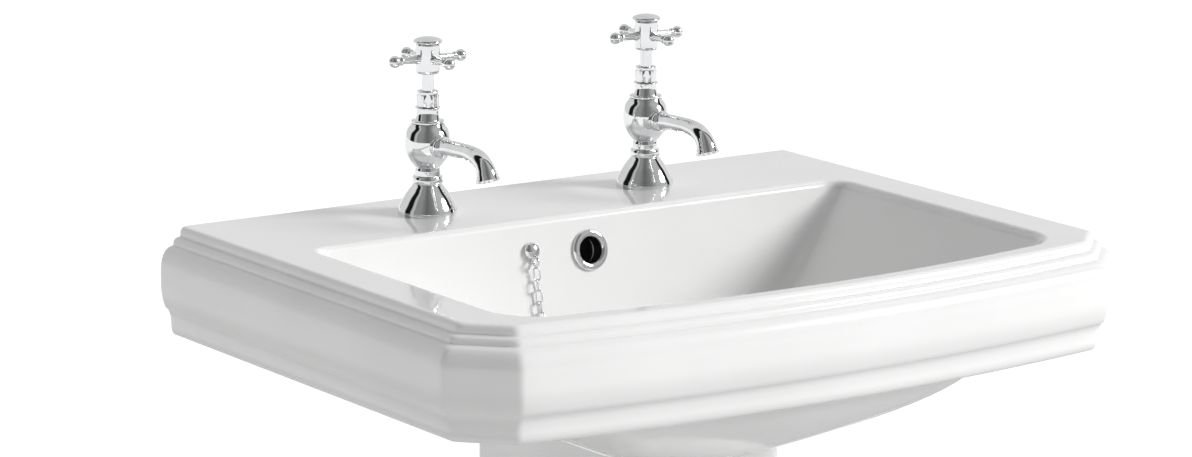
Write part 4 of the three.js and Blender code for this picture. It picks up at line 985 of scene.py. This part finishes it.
shaped(piece, "DIFFERENCE", moved(skin(slot_box.reshape(2, 4, 3), caps=True), 0, DRAIN_Y))
stands_for(piece, "waste_body")

stopper = moved(turned(rounded([
    (0, PLUG_LEVEL - 13, 0), (16.4, PLUG_LEVEL - 13, 0.8), (18.9, PLUG_LEVEL - 0.2, 0.3),
    (18.9, PLUG_LEVEL + 1, 0.4),
    (0, PLUG_LEVEL + 1, 0),
])), 0, DRAIN_Y)
stands_for(mesh_of("plug_stopper", *in_frame(stopper)), "plug_body")
base = PLUG_LEVEL + 1.3
plug_top = moved(turned(np.concatenate((
    rounded([(0, base, 0), (18.2, base, 0.2), (18.2, base + 0.7, 0.3)])[:-1],
    through([(18.0, base + 0.8), (11.8, base + 1.9), (6, base + 2.3), (4.3, base + 3.2),
        (3.6, base + 4.6), (0, base + 5.1)], 6),
))), 0, DRAIN_Y)
stands_for(mesh_of("plug_plate", *in_frame(plug_top)), "plug_cap")
ring = moved(tipped(loop(4.2, 0.9), "Z", 90), 0, DRAIN_Y, PLUG_RING_Z)
stands_for(mesh_of("plug_shackle", *in_frame(ring)), "plug_ring")
print("the plug is seated at", round(PLUG_LEVEL, 1), "mm from the rim")

# %% [markdown]
# ## The chain
# A basin chain is about a foot of small oval links. Its route was settled with the solids: it
# hangs down the rear wall, lies over the floor in a lazy bend and rises to the plug. Each
# point of the route is found by a ray on to the ceramic, and lifted off it by the same amount
# as the solid's middle line. Links are set along it a pitch apart, turned a quarter each time.

# %% The chain's route
LIFT = 3.4
ware = BVHTree.FromObject(basin, bpy.context.evaluated_depsgraph_get())


def resting_on(origin, direction):
    hit, normal, _, _ = ware.ray_cast(Vector(placed(origin)), Vector(direction))
    normal = np.array(normal) * -np.sign(np.dot(normal, direction))
    return (np.array(hit) - (0, WALL, RIM)) / MM + normal * LIFT


eye_points, _ = on_rear_wall((np.array([EYE]), []), STAY_X, STAY_Z)
wall_route = [(STAY_X + 0.3, DRAIN_Y, -52), (STAY_X + 1.5, DRAIN_Y, -74)]
floor_route = [(-49, -152), (-45, -166), (-37, -184), (-33, -203), (-44, -221), (-62, -235),
               (-67, -253), (-54, -269), (-37, -265)]
to_plug = [(-23, -20, -6.4), (-13, -11.5, -1.6), (-4.2, -4.8, 1.9)]
route = np.array([
    eye_points[0] + (0, -0.8, -EYE_BEND - 2),
    *[resting_on(p, (0, 1, 0)) for p in wall_route],
    *[resting_on((x, y, 0), (0, 0, -1)) for x, y in floor_route],
    *[(x, DRAIN_Y + y, PLUG_RING_Z + z) for x, y, z in to_plug],
])
middle_line = through(route, 24)
CHAIN_LENGTH = np.linalg.norm(np.diff(middle_line, axis=0), axis=1).sum()
print("the chain is", round(CHAIN_LENGTH, 1), "mm long")

# %% Oval links along the route
LINK_PITCH, LINK_WIDTH, WIRE = 8.4, 5.6, 0.62


def link_shape(turns=28, sides=8):
    """An oval of wire: two straight sides and two half circles, with a round section."""
    a = np.linspace(0, 2 * np.pi, turns, endpoint=False)
    bend = LINK_WIDTH / 2 - WIRE
    straight = LINK_PITCH / 2 - bend + WIRE
    centre = np.stack((bend * np.cos(a) + straight * np.sign(np.cos(a)) * (np.abs(np.cos(a)) > 1e-9),
                       bend * np.sin(a)), 1)
    out = np.stack((np.cos(a), np.sin(a)), 1)
    b = np.linspace(0, 2 * np.pi, sides, endpoint=False)
    plane = centre[:, None] + WIRE * np.cos(b)[None, :, None] * out[:, None]
    height = np.broadcast_to(WIRE * np.sin(b), plane.shape[:2])
    return np.concatenate((plane, height[..., None]), -1)


one_link = link_shape()
travelled = np.concatenate(([0], np.cumsum(np.linalg.norm(np.diff(middle_line, axis=0), axis=1))))
count = int(round(CHAIN_LENGTH / LINK_PITCH))
stations = (np.arange(count) + 0.5) * CHAIN_LENGTH / count
centres = np.stack([np.interp(stations, travelled, middle_line[:, i]) for i in range(3)], 1)
fore = np.stack([np.interp(stations + 2, travelled, middle_line[:, i]) for i in range(3)], 1)
aft = np.stack([np.interp(stations - 2, travelled, middle_line[:, i]) for i in range(3)], 1)
along = (fore - aft) / np.linalg.norm(fore - aft, axis=1, keepdims=True)
side_way = np.cross(along, (0.3, 0.2, 1.0))
side_way /= np.linalg.norm(side_way, axis=1, keepdims=True)
top_way = np.cross(side_way, along)
twist = np.radians(45 + 90 * (np.arange(count) % 2) + 8 * np.sin(np.arange(count) * 1.7))[:, None]
flat_way = np.cos(twist) * side_way + np.sin(twist) * top_way
thin_way = np.cos(twist) * top_way - np.sin(twist) * side_way
links = (
    centres[:, None, None]
    + one_link[None, ..., :1] * along[:, None, None]
    + one_link[None, ..., 1:2] * flat_way[:, None, None]
    + one_link[None, ..., 2:] * thin_way[:, None, None]
)
chain = together("chain_links", [skin(placed(link), wrap_rows=True) for link in links], sharp=180)
chain.data.materials.append(chrome)
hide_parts("plug_chain")
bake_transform(chain)
print(count, "links")

# %% [markdown]
# ## Out of sight
# Under the basin the waste runs through a bottle trap of white plastic to a pipe in the wall.
# Its nuts have ribs for the hand: turned profiles whose radius rises and falls round the axis.
# Threads are turned too, with a groove that climbs as it goes round.

# %% Ribbed nuts, threads and hexagons
def ribbed(profile, ribs=24, depth=1.0, segments=192):
    """Each profile point is [radius, height, share]: its radius at angle a is
    radius - share * depth * |sin(ribs a / 2)|, so ribs stand between shallow flutes."""
    profile = np.array([(*p, 0.0)[:3] for p in profile], float)
    angle = np.linspace(0, 2 * np.pi, segments, endpoint=False)
    radius = profile[:, :1] - profile[:, 2:] * depth * np.abs(np.sin(ribs * angle / 2))
    height = np.broadcast_to(profile[:, 1:2], radius.shape)
    return skin(np.stack((radius * np.cos(angle), radius * np.sin(angle), height), -1), wrap_rows=True)


def threaded(radius, low, high, pitch=1.8, depth=0.8, segments=48):
    """A rod whose radius at height z and angle a is radius - depth * (1 + cos(2 pi z / pitch
    - a)) / 2, fading out at both ends."""
    z = np.linspace(low, high, int((high - low) / pitch * 8))[:, None]
    angle = np.linspace(0, 2 * np.pi, segments, endpoint=False)
    fade = np.clip(np.minimum(z - low, high - z) / pitch, 0, 1)
    cut = depth * (1 + np.cos(2 * np.pi * z / pitch - angle)) / 2
    across = radius - depth * (1 - fade) - fade * cut
    return skin(np.stack((across * np.cos(angle), across * np.sin(angle), z + 0 * angle), -1), caps=True)


def hidden(name, node, *parts):
    return stands_for(together(name, [in_frame(part) for part in parts]), node)


for side, x in TAP_X.items():
    hidden(f"{side}_tail_nut", f"{side}_backnut", moved(hexagon(32, -28.9, -20.6, 10.8, 1.2), x, TAP_Y))
    top_hat = rounded([(10.8, -4, 0), (16.6, -4, 0.5), (16.8, -16.3, 0), (25, -16.3, 0.6),
        (25, -20.3, 0.8), (10.8, -20.3, 0)])
    hidden(f"{side}_shouldered_washer", f"{side}_top_hat_washer", moved(turned(top_hat), x, TAP_Y))

# %% The trap and its pipe
TRAP_RADIUS, TRAP_WALL, TRAP_BOTTOM, SHOULDER = 27.0, 2.6, -350, -257.0
PIPE_Z, PIPE_RADIUS, PIPE_BORE = -290.0, 17.5, 15.3
INLET_RADIUS, OUTLET_RADIUS, OUTLET_END = 24.9, 20.1, 49.0
INSIDE = TRAP_RADIUS - TRAP_WALL
bottle = turned(rounded([
    (14.9, -368, 0.3), (16.9, -368, 0.3), (16.9, SHOULDER - 2.6, 0), (INSIDE, SHOULDER - 5, 1),
    (INSIDE, TRAP_BOTTOM, 0.3),
    (TRAP_RADIUS, TRAP_BOTTOM, 0.4), (TRAP_RADIUS, SHOULDER - 7, 4), (TRAP_RADIUS - 4, SHOULDER, 3),
    (INLET_RADIUS, SHOULDER + 1, 1),
    (INLET_RADIUS, -229, 0.4), (INLET_RADIUS - 3, -229, 0.4), (INLET_RADIUS - 3, -235, 0), (14.9, -239, 0),
]), 96)
trap = mesh_of("trap_bottle", *in_frame(moved(bottle, 0, DRAIN_Y)))


def backward(part, z=PIPE_Z):
    """A part made about +Z laid along +Y, away from the trap's axis."""
    return moved(tipped(part, "X", -90), 0, DRAIN_Y, z)


shaped(trap, "UNION", in_frame(backward(rod(OUTLET_RADIUS, INSIDE - 1.4, OUTLET_END, 72))))
shaped(trap, "DIFFERENCE", in_frame(backward(rod(PIPE_BORE, INSIDE - 5, OUTLET_END + 8, 72))))
stands_for(trap, "trap_body")
hidden("trap_cup_ribbed", "trap_cup", moved(ribbed([
    (0.01, -387), (19, -387), (24, -380), (24, -352.6), (27.3, -352.6), (27.3, -336), (29.4, -336),
    (30, -336.8, 0.2),
    (30, -338.5, 1), (30, -381, 1), (28.5, -385, 1), (24, -389, 0.5), (21, -390), (0.01, -390),
]), 0, DRAIN_Y))
hidden("trap_inlet_collar", "trap_inlet_nut", moved(ribbed([
    (21.2, -219.7), (26.6, -219.7), (28.1, -221.2, 0.3), (28.1, -223, 1), (28.1, -240.5, 1),
    (27.4, -242.7, 0.3),
    (25.3, -242.7), (25.3, -222.7), (21.2, -222.7),
]), 0, DRAIN_Y))
hidden("outlet_collar", "trap_outlet_nut", backward(ribbed([
    (17.8, OUTLET_END + 6.3), (17.8, OUTLET_END + 9.3), (23.4, OUTLET_END + 9.3), (24.5, OUTLET_END + 8, 0.3),
    (24.5, OUTLET_END + 6, 1), (24.5, OUTLET_END - 14, 1), (24, OUTLET_END - 15.7, 0.3),
    (20.9, OUTLET_END - 15.7),
    (20.9, OUTLET_END + 6.3),
])))
pipe = rounded([(PIPE_BORE, OUTLET_END + 0.3, 0.3), (PIPE_RADIUS, OUTLET_END + 0.3, 0.3),
    (PIPE_RADIUS, -DRAIN_Y, 0),
                (PIPE_BORE, -DRAIN_Y, 0)])
hidden("outlet_pipe", "waste_pipe", backward(turned(pipe, 96)))
hidden("waste_nut", "waste_backnut", moved(hexagon(58, -179, -169.6, 21.2, 1.4), 0, DRAIN_Y))
print("the outlet is", round(RIM / MM + PIPE_Z), "mm above the floor")

# %% Bolts, nuts and screws that hold the ware
BOLT_X, BOLT_Z = 150.0, -58.0
for side, x in (("left", -BOLT_X), ("right", BOLT_X)):
    def forward(part):
        """A part made about +Z laid along -Y, out of the wall at the bolt."""
        return moved(tipped(part, "X", 90), x, 0, BOLT_Z)

    hidden(f"{side}_hanger_bolt", f"{side}_wall_bolt", forward(threaded(4.0, 0.02, 39.9, 1.25, 0.6, 32)))
    hidden(f"{side}_hanger_nut", f"{side}_wall_nut", forward(hexagon(13, 15.3, 21.9, 4.3, 0.6)))
print("plumbing and fixings done")

# %% [markdown]
# ## Floor and light
# The basin stands on a plain pale floor that runs out of sight. Close to the basin the floor
# only takes the light that falls on it, so it throws little up at the bowl; further off it
# also glows, by its distance from the basin, and so it ends in white. One wide soft light
# comes from the right and forward, and a pale sky fills in the rest. Two dark uprights in
# that sky are what the chrome mirrors, as flags do in a studio.

# %% Floor
def flat_floor(reach=40.0, steps=40):
    """A square grid of points whose height is zero: a plain sheet, larger than the view."""
    line = np.linspace(-reach, reach, steps)
    x, y = np.meshgrid(line, line, indexing="ij")
    return np.stack((x, y, 0 * x), -1)


grid = flat_floor()
rows, columns, _ = grid.shape
floor_faces = squares(rows, columns, wrap_columns=False)[:, ::-1].tolist()
floor = mesh_of("studio_floor", grid.reshape(-1, 3), floor_faces)
FLOOR_GLOW, GLOW_STARTS = 0.5, (1.7, 2.6)
pale, tree, shader, place = new_finish("pale_floor")
blotch = noise(tree, place, 3.0, 2.0)
tree.links.new(between(tree, blotch, (0.65, 0.65, 0.65), (0.67, 0.67, 0.67)), shader.inputs["Base Color"])
shader.inputs["Roughness"].default_value = 0.9
shader.inputs["Specular IOR Level"].default_value = 0.0
shader.inputs["Emission Color"].default_value = (1.0, 1.0, 1.0, 1.0)
away = tree.nodes.new("ShaderNodeVectorMath")
away.operation = "LENGTH"
tree.links.new(place, away.inputs[0])
tree.links.new(spread(tree, away.outputs["Value"], 0.0, FLOOR_GLOW, GLOW_STARTS),
    shader.inputs["Emission Strength"])
floor.data.materials.append(pale)
print("the floor glows from", GLOW_STARTS[0], "metres out")

# %% Key light
# A sun is so far away that it lights the floor and the ware alike, and a wide one is soft.
KEY_WIDTH, KEY_STRENGTH = np.radians(20.0), 2.75
KEY_TURN, KEY_RISE = np.radians(-37.0), np.radians(26.0)
towards = Vector((np.cos(KEY_TURN) * np.cos(KEY_RISE), np.sin(KEY_TURN) * np.cos(KEY_RISE), np.sin(KEY_RISE)))
lamp = bpy.data.lights.new("key", "SUN")
lamp.angle, lamp.energy = KEY_WIDTH, KEY_STRENGTH
key = bpy.data.objects.new("key", lamp)
key.matrix_world = Matrix.Translation(towards * 4) @ towards.to_track_quat("Z", "Y").to_matrix().to_4x4()
bpy.context.collection.objects.link(key)
print("the key light is", round(np.degrees(KEY_RISE)), "degrees up")

# %% Sky
world = bpy.data.worlds.new("studio")
bpy.context.scene.world = world
bpy.context.scene.view_settings.view_transform = "Standard"
world.use_nodes = True
tree = world.node_tree
background = next(n for n in tree.nodes if n.type == "BACKGROUND")
turn = tree.nodes.new("ShaderNodeTexCoord").outputs["Generated"]
gradient = tree.nodes.new("ShaderNodeTexGradient")
gradient.gradient_type = "RADIAL"
tree.links.new(turn, gradient.inputs["Vector"])
ramp = tree.nodes.new("ShaderNodeValToRGB")
# Azimuth in degrees and brightness: white behind the taps, grey in front, two dark uprights.
SKY = [
    (0, 0.85), (60, 0.7), (134, 0.8), (140, 0.01), (163, 0.01), (168, 0.55), (205, 0.3), (234, 0.15),
    (262, 0.24), (290, 0.5), (325, 0.55), (337, 0.5), (341, 0.01), (353, 0.01), (357, 0.9),
]
stops = sorted(((azimuth / 360.0 + 0.5) % 1.0, shade) for azimuth, shade in SKY)
elements = ramp.color_ramp.elements
while len(elements) < len(stops):
    elements.new(0.5)
for element, (position, shade) in zip(elements, stops):
    element.position = position
    element.color = (shade, shade, shade, 1.0)
tree.links.new(gradient.outputs["Fac"], ramp.inputs["Fac"])
tree.links.new(ramp.outputs["Color"], background.inputs["Color"])
background.inputs["Strength"].default_value = 1.0
print("the sky has", len(elements), "shades")
